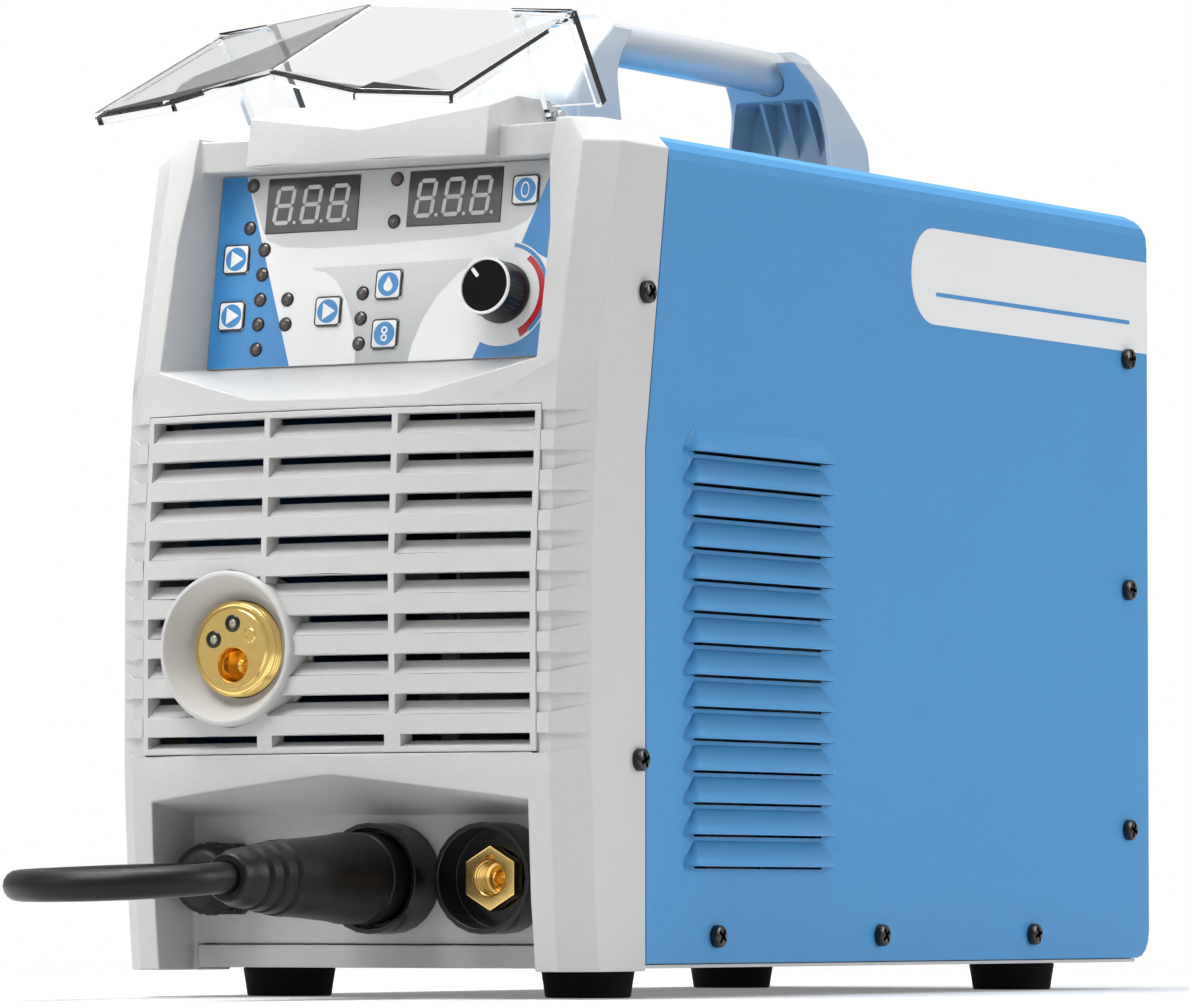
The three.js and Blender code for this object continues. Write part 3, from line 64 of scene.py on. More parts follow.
SOCKET_Z = 34.2
GLAND_X = -71
PLUG_X = 7.5
RETURN_X = 60
PLUG_TIP_Y = -147
CABLE_R = 6.15
EURO = (-46.7, 126)

TO_X = Matrix.Rotation(-math.pi / 2, 4, "Z")  # turns +Y to +X
FLIP = Matrix.Rotation(math.pi, 4, "Z")  # turns +Y to -Y


def at(x, y, z):
    """A point of the CAD source's coordinates, in the frame's own metres."""
    return PLACE @ Vector((x, y, z))


def spot(x, y, z, turn=None):
    """A frame at a point in millimetres, turned so that its Y axis points another way."""
    place = PLACE @ Matrix.Translation((x, y, z))
    return place @ turn if turn else place


# ---------------------------------------------------------------- camera
SENSOR_W = 36
LENS_FOCUS = 232.87
CAMERA_AT = (1637.5, -2639.6, 22.9)
CAMERA_TURN = (math.radians(92.998), 0, math.radians(30.44))


def make_camera():
    data = bpy.data.cameras.new("camera")
    data.sensor_width = SENSOR_W
    data.lens = LENS_FOCUS
    data.clip_end = 100
    camera = bpy.data.objects.new("camera", data)
    camera.location = at(*CAMERA_AT)
    camera.rotation_euler = CAMERA_TURN
    bpy.context.scene.collection.objects.link(camera)
    bpy.context.scene.camera = camera


make_camera()


# ---------------------------------------------------------------- materials
def linear(code):
    """A linear colour from a hexadecimal sRGB one."""
    values = [int(code[i:i + 2], 16) / 255 for i in (0, 2, 4)]
    return [c / 12.92 if c <= 0.04045 else ((c + 0.055) / 1.055) ** 2.4 for c in values]


def scaled(colour, factor):
    return [min(1, c * factor) for c in colour] + [1]


class Graph:
    """The node tree of one material, with its shader and object coordinates."""

    def __init__(self, name):
        self.material = bpy.data.materials.new(name)
        self.material.use_nodes = True
        self.tree = self.material.node_tree
        self.shader = self.tree.nodes["Principled BSDF"]
        self.place = self.add("ShaderNodeTexCoord").outputs["Object"]

    def add(self, kind, **settings):
        node = self.tree.nodes.new(kind)
        for key, value in settings.items():
            setattr(node, key, value)
        return node

    def link(self, a, b):
        self.tree.links.new(a, b)

    def stretched(self, scale):
        mapping = self.add("ShaderNodeMapping")
        mapping.inputs["Scale"].default_value = scale
        self.link(self.place, mapping.inputs["Vector"])
        return mapping.outputs["Vector"]

    def noise(self, scale, detail=3, vector=None):
        node = self.add("ShaderNodeTexNoise")
        node.inputs["Scale"].default_value = scale
        node.inputs["Detail"].default_value = detail
        self.link(vector or self.place, node.inputs["Vector"])
        return node.outputs["Fac"]

    def spread(self, value, low, high):
        """value from about 0.3 to 0.7 carried to low to high."""
        node = self.add("ShaderNodeMapRange")
        for key, number in (("From Min", 0.3), ("From Max", 0.7), ("To Min", low), ("To Max", high)):
            node.inputs[key].default_value = number
        self.link(value, node.inputs["Value"])
        return node.outputs["Result"]

    def colours(self, value, stops):
        ramp = self.add("ShaderNodeValToRGB")
        elements = ramp.color_ramp.elements
        elements[0].position, elements[0].color = stops[0]
        elements[1].position, elements[1].color = stops[1]
        for position, colour in stops[2:]:
            elements.new(position).color = colour
        self.link(value, ramp.inputs["Fac"])
        return ramp.outputs["Color"]

    def bump(self, height, distance, strength=1.0):
        node = self.add("ShaderNodeBump")
        node.inputs["Strength"].default_value = strength
        node.inputs["Distance"].default_value = distance
        self.link(height, node.inputs["Height"])
        self.link(node.outputs["Normal"], self.shader.inputs["Normal"])


def surface(name, code, rough, metal=0.0, grain=1800, depth=0.00004, mottle=0.03,
            patch=25, rough_spread=0.05, stretch=None, shine=0.5):
    """A mottled, finely grained surface. grain and patch are features per metre."""
    g = Graph(name)
    colour = linear(code)
    vector = g.stretched(stretch) if stretch else g.place
    patches = g.noise(patch, 4)
    g.link(g.colours(patches, [(0.3, scaled(colour, 1 - mottle)), (0.7, scaled(colour, 1 + mottle))]),
           g.shader.inputs["Base Color"])
    fine = g.noise(grain, 2, vector)
    g.link(g.spread(fine, rough - rough_spread, rough + rough_spread), g.shader.inputs["Roughness"])
    g.bump(fine, depth)
    g.shader.inputs["Metallic"].default_value = metal
    g.shader.inputs["Specular IOR Level"].default_value = shine
    return g.material


def acrylic():
    """Polished clear plastic."""
    g = Graph("clear_acrylic")
    g.shader.inputs["Base Color"].default_value = (0.95, 0.96, 0.965, 1)
    g.shader.inputs["Transmission Weight"].default_value = 1
    g.shader.inputs["IOR"].default_value = 1.49
    g.link(g.spread(g.noise(60), 0.0, 0.02), g.shader.inputs["Roughness"])
    return g.material


def wound(name, code, pitch, axis_scale):
    """Metal wire wound in close turns: rounded ridges along one axis, with painted shade in the grooves
    between them.
    """
    g = Graph(name)
    wave = g.add("ShaderNodeTexWave", wave_type="BANDS", bands_direction="X", wave_profile="SIN")
    wave.inputs["Scale"].default_value = 1 / pitch * axis_scale
    wave.inputs["Distortion"].default_value = 0.4
    g.link(g.place, wave.inputs["Vector"])
    colour = linear(code)
    # The base colour falls to 0.45 of its own in the grooves between turns: painted shade.
    g.link(g.colours(wave.outputs["Fac"], [(0, scaled(colour, 0.45)), (0.7, scaled(colour, 1.05))]),
           g.shader.inputs["Base Color"])
    g.link(g.spread(g.noise(900), 0.25, 0.4), g.shader.inputs["Roughness"])
    g.shader.inputs["Metallic"].default_value = 1
    g.bump(wave.outputs["Fac"], 0.0003)
    return g.material


def graded(name, low, high, foot, top):
    """A printed tint that changes from low to high between two heights on the panel."""
    g = Graph(name)
    height = g.add("ShaderNodeSeparateXYZ")
    g.link(g.place, height.inputs["Vector"])
    span = g.add("ShaderNodeMapRange")
    span.inputs["From Min"].default_value = (PANEL @ Vector((0, 0, foot))).z
    span.inputs["From Max"].default_value = (PANEL @ Vector((0, 0, top))).z
    g.link(height.outputs["Z"], span.inputs["Value"])
    g.link(g.colours(span.outputs["Result"], [(0, scaled(linear(low), 1)), (1, scaled(linear(high), 1))]),
           g.shader.inputs["Base Color"])
    g.link(g.spread(g.noise(800), 0.27, 0.37), g.shader.inputs["Roughness"])
    return g.material


BEZEL = surface("bezel_plastic", "c8c8c7", 0.5, grain=1500, depth=0.00007, mottle=0.015,
                patch=300, shine=0.35)
BLUE = surface("blue_powder_coat", "4b92c9", 0.38, grain=900, depth=0.00002, mottle=0.01, shine=0.25)
HANDLE = surface("handle_plastic", "b3bac0", 0.4, grain=2400, depth=0.00003, mottle=0.012)
GRIP = surface("grip_tube", "b4b8bc", 0.22, grain=1200, depth=0.00001, mottle=0.012, shine=0.8)
TRAY = surface("tray_paint", "c4c4c3", 0.45, grain=900, depth=0.00003)
BLACK = surface("black_plastic", "0f0f10", 0.38, grain=2200, depth=0.00004, mottle=0.1, shine=0.3)
GLOSS_BLACK = surface("gloss_black", "0b0b0c", 0.22, grain=600, depth=0.00001, mottle=0.1)
MATT_BLACK = surface("matt_black", "0a0a0b", 0.75, grain=1800, depth=0.00003, mottle=0.1, shine=0.15)
RUBBER = surface("black_rubber", "0e0e0f", 0.42, grain=1500, depth=0.00004, mottle=0.12, shine=0.25)
BRASS = surface("turned_brass", "ecc97c", 0.2, 1, grain=900, depth=0.000004, rough_spread=0.03,
                stretch=(1, 8, 1))
STEEL = surface("turned_steel", "b9bbbd", 0.3, 1, grain=1600, depth=0.00001, stretch=(1, 1, 6))
ZINC = surface("zinc_plate", "a9adb0", 0.42, 1, grain=300, depth=0.00002, mottle=0.12, patch=70)
ALUMINIUM = surface("cast_aluminium", "c3c6c9", 0.4, 1, grain=1200, depth=0.00006)
BOARD = surface("circuit_board", "25603b", 0.45, grain=700, depth=0.00003, mottle=0.1, patch=120)
COPPER = wound("copper_turns", "b8744a", 0.0012, 0.32)
WINDINGS = wound("varnished_windings", "8a4d26", 0.002, 0.32)
ACRYLIC = acrylic()
WHITE_PRINT = surface("white_print", "f6f7f7", 0.32, grain=800, depth=0.00001, mottle=0.008)
BLUE_PRINT = surface("blue_print", "3c8ccb", 0.32, grain=800, depth=0.00001, mottle=0.01)
RED_PRINT = surface("red_print", "c8202f", 0.32, grain=800, depth=0.00001, mottle=0.01)
DARK_PRINT = surface("dark_print", "1b1d22", 0.32, grain=800, depth=0.00001, mottle=0.02)
LABEL = surface("label_film", "e6e7e8", 0.35, grain=600, depth=0.00001, mottle=0.006)
WINDOW = surface("display_window", "373739", 0.2, grain=500, depth=0.00001, mottle=0.04)
SEGMENT = surface("unlit_segment", "cdcac6", 0.35, grain=900, depth=0.00001, mottle=0.03)
LAMP = surface("unlit_lamp", "4b4340", 0.2, grain=900, depth=0.00001, mottle=0.1, shine=0.8)


# ---------------------------------------------------------------- shapes
WELD_WITHIN = 0.000005  # metres
FLAT_WITHIN = 0.6  # degrees
SMOOTH_UNDER = 32  # degrees
ROUND_OVER = 0.5  # radians


def circle(r, steps, start=0.0):
    """Points (x, z) round a circle."""
    return [(r * math.cos(start + 2 * math.pi * i / steps), r * math.sin(start + 2 * math.pi * i / steps))
            for i in range(steps)]


def arc(cx, cz, r, start, end, steps):
    """Points along an arc, angles in degrees."""
    angles = [math.radians(start + (end - start) * i / steps) for i in range(steps + 1)]
    return [(cx + r * math.cos(a), cz + r * math.sin(a)) for a in angles]


def rounded(half_x, half_z, r, cx=0.0, cz=0.0, steps=4):
    """A rounded rectangle's outline, anticlockwise from its lower right corner."""
    corners = [(1, -1, -90), (1, 1, 0), (-1, 1, 90), (-1, -1, 180)]
    points = []
    for sx, sz, start in corners:
        points += arc(cx + sx * (half_x - r), cz + sz * (half_z - r), r, start, start + 90, steps)
    return points


def turned(bm, profile, place, steps=48):
    """A profile of (radius, distance along Y) turned about the place's Y axis."""
    rings = []
    for r, t in profile:
        points = circle(r, steps) if r > 0 else [(0, 0)]
        rings.append([bm.verts.new(place @ Vector((x, t, z))) for x, z in points])
    for a, b in zip(rings, rings[1:]):
        for i in range(steps):
            j = (i + 1) % steps
            corners = [a[i % len(a)], a[j % len(a)], b[j % len(b)], b[i % len(b)]]
            unique = list(dict.fromkeys(corners))
            if len(unique) > 2:
                bm.faces.new(unique)


def prism(bm, outline, y0, y1, place):
    """An (x, z) outline carried from y0 to y1 along the place's Y axis."""
    near = [bm.verts.new(place @ Vector((x, y0, z))) for x, z in outline]
    far = [bm.verts.new(place @ Vector((x, y1, z))) for x, z in outline]
    bm.faces.new(near)
    bm.faces.new(far[::-1])
    for i, vertex in enumerate(near):
        j = (i + 1) % len(near)
        bm.faces.new([vertex, far[i], far[j], near[j]])


def block(bm, x, y, z, place=PLACE):
    """A box between the given pairs of limits."""
    prism(bm, [(x[0], z[0]), (x[1], z[0]), (x[1], z[1]), (x[0], z[1])], y[0], y[1], place)


def soften(bm, width, angle=30, segments=2):
    """Rounds every edge sharper than angle, by width in millimetres."""
    bmesh.ops.recalc_face_normals(bm, faces=bm.faces)
    limit = math.radians(angle)
    edges = [e for e in bm.edges if len(e.link_faces) == 2 and e.calc_face_angle(0) > limit]
    bmesh.ops.bevel(bm, geom=edges, offset=width * MM, segments=segments, profile=0.5,
                    affect="EDGES", clamp_overlap=True)


def loft(bm, rings):
    """A closed skin over rings of points, all with the same number of points."""
    levels = [[bm.verts.new(at(*point)) for point in ring] for ring in rings]
    for a, b in zip(levels, levels[1:]):
        for i, vertex in enumerate(a):
            j = (i + 1) % len(a)
            bm.faces.new([vertex, a[j], b[j], b[i]])
    bm.faces.new(levels[0][::-1])
    bm.faces.new(levels[-1])


def hull(bm, points):
    """The convex hull of points."""
    verts = [bm.verts.new(at(*point)) for point in points]
    bmesh.ops.convex_hull(bm, input=verts)


def piece(name, bm, body, material, smooth=SMOOTH_UNDER):
    """Makes an object of a bmesh, shades it and lets it ride on a CAD body."""
    bmesh.ops.recalc_face_normals(bm, faces=bm.faces)
    mesh = bpy.data.meshes.new(name)
    bm.to_mesh(mesh)
    bm.free()
    mesh.shade_smooth()
    mesh.set_sharp_from_angle(angle=math.radians(smooth))
    return placed(name, mesh, body, material)


def placed(name, mesh, body, material):
    """Makes an object of a mesh and lets it ride on a CAD body."""
    obj = bpy.data.objects.new(name, mesh)
    bpy.context.scene.collection.objects.link(obj)
    if not mesh.materials:
        mesh.materials.append(material)
    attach(obj, body)
    return obj


def rounded_copy(mesh, name, material, slot, width, pick, segments=2, smooth=SMOOTH_UNDER,
                 join=FLAT_WITHIN, weld=WELD_WITHIN):
    """A copy of a mesh, on the machine, with the edges that pick chooses rounded."""
    bm = bmesh.new()
    bm.from_mesh(mesh)
    bmesh.ops.remove_doubles(bm, verts=bm.verts, dist=weld)
    if join:
        bmesh.ops.dissolve_limit(bm, angle_limit=math.radians(join), verts=bm.verts, edges=bm.edges)
    edges = [e for e in bm.edges
             if len(e.link_faces) == 2 and e.calc_face_angle(0) > ROUND_OVER and pick(e)]
    bmesh.ops.bevel(bm, geom=edges, offset=width * MM, segments=segments, profile=0.5,
                    affect="EDGES", clamp_overlap=False)
    copy = piece(name, bm, "machine", material, smooth)
    weigh(copy)
    return copy


def shell(node, *look, **edges):
    """Puts a rounded copy of a CAD node of the machine in its place."""
    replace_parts(rounded_copy(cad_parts[node].data, *look, **edges), node)


def cut_with(obj, cutter):
    """Cuts a bmesh out of an object and leaves nothing else behind."""
    bmesh.ops.triangulate(cutter, faces=cutter.faces)
    bmesh.ops.recalc_face_normals(cutter, faces=cutter.faces)
    tool_mesh = bpy.data.meshes.new("tool")
    cutter.to_mesh(tool_mesh)
    cutter.free()
    tool = bpy.data.objects.new("tool", tool_mesh)
    bpy.context.scene.collection.objects.link(tool)
    modifier = obj.modifiers.new("cut", "BOOLEAN")
    modifier.operation = "DIFFERENCE"
    modifier.solver = "EXACT"
    modifier.object = tool
    bpy.context.view_layer.update()
    evaluated = obj.evaluated_get(bpy.context.evaluated_depsgraph_get())
    result = bpy.data.meshes.new_from_object(evaluated)
    obj.modifiers.remove(modifier)
    bpy.data.objects.remove(tool)
    result.name = obj.data.name
    obj.data = result
    result.shade_smooth()
    result.set_sharp_from_angle(angle=math.radians(SMOOTH_UNDER))


def weigh(obj):
    """Lets large faces shade flat where their edges are rounded."""
    normals = obj.modifiers.new("normals", "WEIGHTED_NORMAL")
    normals.keep_sharp = True


def rounded_edges(obj, bevel, angle, segments, pierced):
    """Joins flat faces, rounds the edges sharper than angle and evens the shading.

    A pierced part keeps its triangles, because a joined face would span its holes.
    """
    weld = obj.modifiers.new("weld", "WELD")
    weld.merge_threshold = WELD_WITHIN
    if not pierced:
        flat = obj.modifiers.new("flat", "DECIMATE")
        flat.decimate_type = "DISSOLVE"
        flat.angle_limit = math.radians(FLAT_WITHIN)
    edge = obj.modifiers.new("edges", "BEVEL")
    edge.width = bevel * MM
    edge.segments = segments
    edge.limit_method = "ANGLE"
    edge.angle_limit = math.radians(angle)
    edge.use_clamp_overlap = pierced
    edge.miter_outer = "MITER_ARC"
    weigh(obj)


def paint(node, material, smooth):
    """Gives a CAD node its material and smooth or flat shading, and returns it."""
    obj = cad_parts[node]
    mesh = obj.data
    mesh.materials.clear()
    mesh.materials.append(material)
    mesh.polygons.foreach_set("use_smooth", [smooth] * len(mesh.polygons))
    return obj


def refine(node, material, bevel=0.5, angle=35, segments=2, pierced=False):
    """Gives a CAD node its material, rounds its edges and shades it."""
    rounded_edges(paint(node, material, True), bevel, angle, segments, pierced)


# ---------------------------------------------------------------- jumper cable and plug
CABLE_ROUTE = [
    (-71, -38, 34.2), (-71, -51, 34.2), (-71, -64, 34.2), (-72, -79, 34), (-74.5, -94.5, 33.6),
    (-77.5, -110, 33.1), (-79.5, -125, 32.6), (-80, -140.5, 32.1), (-76.7, -161, 31.5),
    (-67.3, -179, 31.1), (-53.1, -191.3, 30.9), (-36.5, -195.5, 30.9), (-19.7, -192.3, 31.2),
    (-5.4, -183.2, 31.9), (4.2, -169.6, 32.9), (7.5, -153.5, 33.9), (7.5, -145.5, 34.2),
    (7.5, -137.4, 34.2),
]
BOOT_RIBS = 4
BOOT_RIB_PITCH = 8.6


def plug_boot():
    """The plug's rubber boot: a grooved shoulder, a long taper and ribs near its tip."""
    profile = [(0, -38), (17.4, -38), (18.2, -39), (18.25, -52), (17.5, -52.6), (17.5, -54.4), (18.2, -55)]
    profile += [(18.2, -64), (17.3, -70), (16.6, -80), (15.7, -94), (15.3, -102)]
    for k in range(BOOT_RIBS):
        top = -106 - k * BOOT_RIB_PITCH
        r = 15.3 - k * 1.1
        profile += [(r - 1.1, top), (r - 1.1, top - 1.6), (r, top - 2.4), (r - 0.5, top - 7.6)]
    profile += [(10.2, -141.5), (9.6, -146.2), (8.8, PLUG_TIP_Y), (CABLE_R + 0.3, PLUG_TIP_Y)]
    profile += [(CABLE_R + 0.3, PLUG_TIP_Y + 9), (0, PLUG_TIP_Y + 9)]
    bm = bmesh.new()
    turned(bm, profile, spot(PLUG_X, 0, SOCKET_Z), 64)
    boot = piece("plug_boot", bm, "machine", RUBBER, 28)
    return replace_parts(boot, "polarity_plug")


def jumper_cable(boot):
    """The cable from the gland to the boot, as a curve through its listed route."""
    curve = bpy.data.curves.new("jumper_cable", "CURVE")
    curve.dimensions = "3D"
    curve.bevel_depth = CABLE_R * MM
    curve.bevel_resolution = 6
    curve.resolution_u = 10
    curve.use_fill_caps = True
    spline = curve.splines.new("BEZIER")
    spline.bezier_points.add(len(CABLE_ROUTE) - 1)
    for knot, point in zip(spline.bezier_points, CABLE_ROUTE):
        knot.co = at(*point)
        knot.handle_left_type = knot.handle_right_type = "AUTO"
    curve.materials.append(RUBBER)
    cable = bpy.data.objects.new("jumper_cable", curve)
    bpy.context.scene.collection.objects.link(cable)
    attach(cable, "machine")
    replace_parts(cable, "polarity_cable")


jumper_cable(plug_boot())


GLAND_RIBS = 24


def cable_gland():
    """A hexagonal gland body with a rounded clamping nut round the cable."""
    bm = bmesh.new()
    prism(bm, circle(16.6, 6), -33, -24.4, spot(GLAND_X, 0, SOCKET_Z))
    soften(bm, 0.7)
    dome = [(6, -30), (14.4, -30), (14.4, -40), (13.9, -43.5), (12.3, -46.3), (9.8, -47.8), (6.4, -48),
            (6, -47), (6, -30)]
    turned(bm, dome, spot(GLAND_X, 0, SOCKET_Z), 64)
    for k in range(GLAND_RIBS):
        angle = 2 * math.pi * k / GLAND_RIBS
        rib = spot(GLAND_X, 0, SOCKET_Z) @ Matrix.Rotation(angle, 4, "Y") @ Matrix.Translation((14.1, 0, 0))
        prism(bm, circle(0.7, 8), -40.5, -33.4, rib)
    gland = piece("gland_body", bm, "machine", BLACK)
    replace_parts(gland, "cable_gland")


cable_gland()


# ---------------------------------------------------------------- front bezel and grille
GRILLE_FOOT = 83.8
GRILLE_TOP = 220.4
SLOT_TOP = 218
SLOT_PITCH = 15.87
SLOT_ROWS = 9
SLOT_H = 8
PILLAR_X = 98  # where the bezel's bowed front ends and its corner facet starts
FACET_W = 14.1
FACET_BACK = 13.8  # how far the facet falls back over its width
GROOVE_START_X = 90
GROOVE_DEPTH = 1.7
GROOVE_TAPER = 4.4
SLIVER = 0.0007  # metres; shorter edges are closed before the bezel is rounded


def front_y(x, z):
    """The bezel's front face at a height of the grille, bowed towards the middle."""
    t = (z - GRILLE_FOOT) / (GRILLE_TOP - GRILLE_FOOT)
    return -54.5 + max(0, t - 0.52) * 9.4 - (8 + 3 * t) * (1 - (x / PILLAR_X) ** 2)


def groove(bm, sign, top, facet):
    """Carries one grille slot on over the pillar, or over its facet, where it tapers off."""
    foot = top - SLOT_H
    if facet:
        near, far = PILLAR_X - 0.4, PILLAR_X + FACET_W
        back, rise = FACET_BACK - GROOVE_DEPTH, GROOVE_TAPER
    else:
        near, far, back, rise = GROOVE_START_X, PILLAR_X, 0, 0
    mouth = []
    for x, y, low in ((near, front_y(near, foot), foot), (far, front_y(PILLAR_X, foot) + back, foot + rise)):
        mouth += [(sign * x, y + GROOVE_DEPTH, low), (sign * x, y + GROOVE_DEPTH, top)]
    hull(bm, mouth + [(x, -80, z) for x, _, z in mouth])


def off_pillar(edge):
    """Whether an edge keeps clear of the grooved part of the pillars."""
    low, high = at(GROOVE_START_X - 0.5, -30, GRILLE_FOOT - 3), at(0, 0, GRILLE_TOP + 4)
    return not any(abs(v.co.x) > low.x and v.co.y < low.y and low.z < v.co.z < high.z
                   for v in edge.verts)


def crisp_pillars(mesh):
    """Keeps the shading of the grooves, whose edges aren't rounded, to each face."""
    bm = bmesh.new()
    bm.from_mesh(mesh)
    for edge in bm.edges:
        if not off_pillar(edge) and edge.calc_face_angle(0) > math.radians(4):
            edge.smooth = False
    bm.to_mesh(mesh)
    bm.free()


def bezel():
    """The bezel: its grooves are cut into the plain solid, then its other edges are rounded."""
    plain = bpy.data.objects.new("plain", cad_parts["front_bezel"].data.copy())
    bpy.context.scene.collection.objects.link(plain)
    for facet in (False, True):
        for sign in (-1, 1):
            cutter = bmesh.new()
            for row in range(SLOT_ROWS):
                groove(cutter, sign, SLOT_TOP - row * SLOT_PITCH, facet)
            cut_with(plain, cutter)
    shape = rounded_copy(plain.data, "bezel", BEZEL, "bezel_grey", 0.8, off_pillar, 3, weld=SLIVER)
    crisp_pillars(shape.data)
    bpy.data.objects.remove(plain)
    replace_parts(shape, "front_bezel")


def along_x(edge):
    """Whether an edge runs across the machine and is longer than 4 mm."""
    a, b = (v.co for v in edge.verts)
    return (a - b).length > 4 * MM and abs(a.x - b.x) > 0.9 * (a - b).length


EURO_COLLAR = [
    (19.7, -50), (33, -50), (33, -51.4), (31.6, -52), (31.2, -53), (31.2, -64.4), (30.8, -65.5), (30, -66),
    (29.2, -65.9), (28.6, -65.2), (28.2, -64), (22.6, -55), (21.4, -53.6), (19.7, -53), (19.7, -50),
]
EURO_CONTACTS = [(-8.6, 3.9), (0.4, 10.2)]
EURO_TUBE = (8.5, 5.2)
EURO_BORE = (0.7, -6.4)
EURO_BORE_R = 7.3
EURO_BODY_R = 19.2
EURO_THREADS = 5
THREAD_PITCH = 1.5
EURO_FACE = -60.2


def torch_socket():
    """The dished collar, the threaded brass body, its ringed contacts and its gas bore."""
    place = spot(EURO[0], 0, EURO[1])
    dish = bmesh.new()
    turned(dish, EURO_COLLAR, place, 96)
    collar = piece("torch_socket_dish", dish, "machine", BEZEL, 40)
    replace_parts(collar, "euro_collar")
    bm = bmesh.new()
    profile = [(0, -44), (EURO_BODY_R, -44), (EURO_BODY_R, -49)]
    for k in range(EURO_THREADS):
        y = -50 - k * THREAD_PITCH
        profile += [(EURO_BODY_R, y), (EURO_BODY_R - 0.9, y - 0.6), (EURO_BODY_R, y - 1.2)]
    profile += [(EURO_BODY_R, -57.6), (18.5, -58.3), (17.3, -58.6), (16.4, EURO_FACE + 0.4),
                (15.8, EURO_FACE), (0, EURO_FACE)]
    turned(bm, profile, place, 96)
    body = piece("torch_socket_body", bm, "machine", BRASS, 28)
    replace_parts(body, "euro_socket")
    cutter = bmesh.new()
    bore = place @ Matrix.Translation((EURO_BORE[0], 0, EURO_BORE[1]))
    prism(cutter, circle(EURO_BORE_R, 48), -64, -46, bore)
    cut_with(body, cutter)
    weigh(body)
    contacts(place)


def contacts(place):
    """Two pin contacts in black rings, a small brass tube and the lining of the bore."""
    rings = bmesh.new()
    pins = bmesh.new()
    face = EURO_FACE
    for x, z in EURO_CONTACTS:
        here = place @ Matrix.Translation((x, 0, z))
        ring = [(1.7, face + 2), (3.5, face + 2), (3.5, face - 0.2), (3.1, face - 0.5), (1.9, face - 0.4)]
        turned(rings, ring + [(1.7, face + 0.2), (1.7, face + 2)], here, 32)
        pin = [(0, face + 2), (1.6, face + 2), (1.6, face - 0.1), (1.2, face - 0.5), (0.6, face - 0.5)]
        turned(pins, pin + [(0.5, face + 0.3), (0, face + 0.4)], here, 24)
    piece("contact_rings", rings, "machine", GLOSS_BLACK)
    piece("contact_pins", pins, "machine", STEEL)
    tube = bmesh.new()
    nozzle = [(1.5, face + 2), (3, face + 2), (3, face - 0.2), (2.6, face - 0.5), (1.7, face - 0.5)]
    turned(tube, nozzle + [(1.5, face - 0.2), (1.5, face + 2)],
           place @ Matrix.Translation((EURO_TUBE[0], 0, EURO_TUBE[1])), 32)
    bore = place @ Matrix.Translation((EURO_BORE[0], 0, EURO_BORE[1]))
    lining = [(6.2, -46), (EURO_BORE_R, -46), (EURO_BORE_R, -59.6), (6.9, -59.9), (6.6, -59.2),
              (6.2, -57), (6.2, -46)]
    turned(tube, lining, bore, 48)
    turned(tube, [(2.2, -44), (6.3, -44), (6.3, -49), (3.4, -51.5), (2.2, -50.5), (2.2, -44)], bore, 48)
    piece("torch_gas_tubes", tube, "machine", BRASS)


bezel()
shell("front_grille", "grille", BEZEL, "bezel_grey", 0.6, along_x, segments=3)
torch_socket()

for name in ("plug_socket_collar", "return_socket_collar"):
    refine(name, GLOSS_BLACK, bevel=0.4, angle=30, segments=3)
refine("plug_socket_insert", BRASS, bevel=0.4, pierced=True)

HEXAGON_R = 13.2
MOUTH_R = 7.6


def return_socket():
    """A brass hexagon with a keyed mouth, and the grooved sleeve and pin inside it."""
    place = spot(RETURN_X, 0, SOCKET_Z)
    bm = bmesh.new()
    prism(bm, circle(HEXAGON_R, 6, math.pi / 2), -37, -30.3, place)
    soften(bm, 0.8)
    hexagon = piece("return_socket_hexagon", bm, "machine", BRASS)
    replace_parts(hexagon, "return_socket_insert")
    cutter = bmesh.new()
    prism(cutter, circle(MOUTH_R, 48), -40, -28, place)
    cut_with(hexagon, cutter)
    slot = bmesh.new()
    block(slot, (-1.6, 1.6), (-40, -33), (5, 9.4), place)
    cut_with(hexagon, slot)
    weigh(hexagon)
    sleeve = [(0, -20), (7.5, -20), (7.5, -36.2), (7.2, -36.5), (6.8, -36.2)]
    for k in range(4):
        y = -35.4 + k * 1.6
        sleeve += [(6.8, y), (6.3, y + 0.5), (6.3, y + 0.9), (6.8, y + 1.4)]
    sleeve += [(6.7, -28.9), (5.4, -28.3), (3.3, -28.9), (2.9, -28.6), (2.7, -27), (2.7, -22), (0, -22)]
    lining = bmesh.new()
    turned(lining, sleeve, place, 64)
    piece("return_socket_sleeve", lining, "machine", BRASS, 28)


return_socket()


# ---------------------------------------------------------------- case, tray, feet, handle
def on_hood(edge):
    """Whether an edge is on the outer lip of a louvre hood."""
    return all(v.co.x > (HALF_W + 3.6) * MM for v in edge.verts)


shell("case_cover", "case_wrap", BLUE, "case_blue", 0.4, on_hood, smooth=16, join=0)
LOUVRES = 14
LOUVRE_TOP_Z = 205.6
LOUVRE_PITCH = 12.8
LOUVRE_Y = (32.6, 150.4)
# Height over the slit, how far out, how far in from the ends.
LOUVRE_SHAPE = [(-0.1, 5, 1.6), (0.9, 5.1, 1.7), (2.2, 4.9, 2.2), (9, 1, 5.4), (10.2, 0.1, 6.2)]


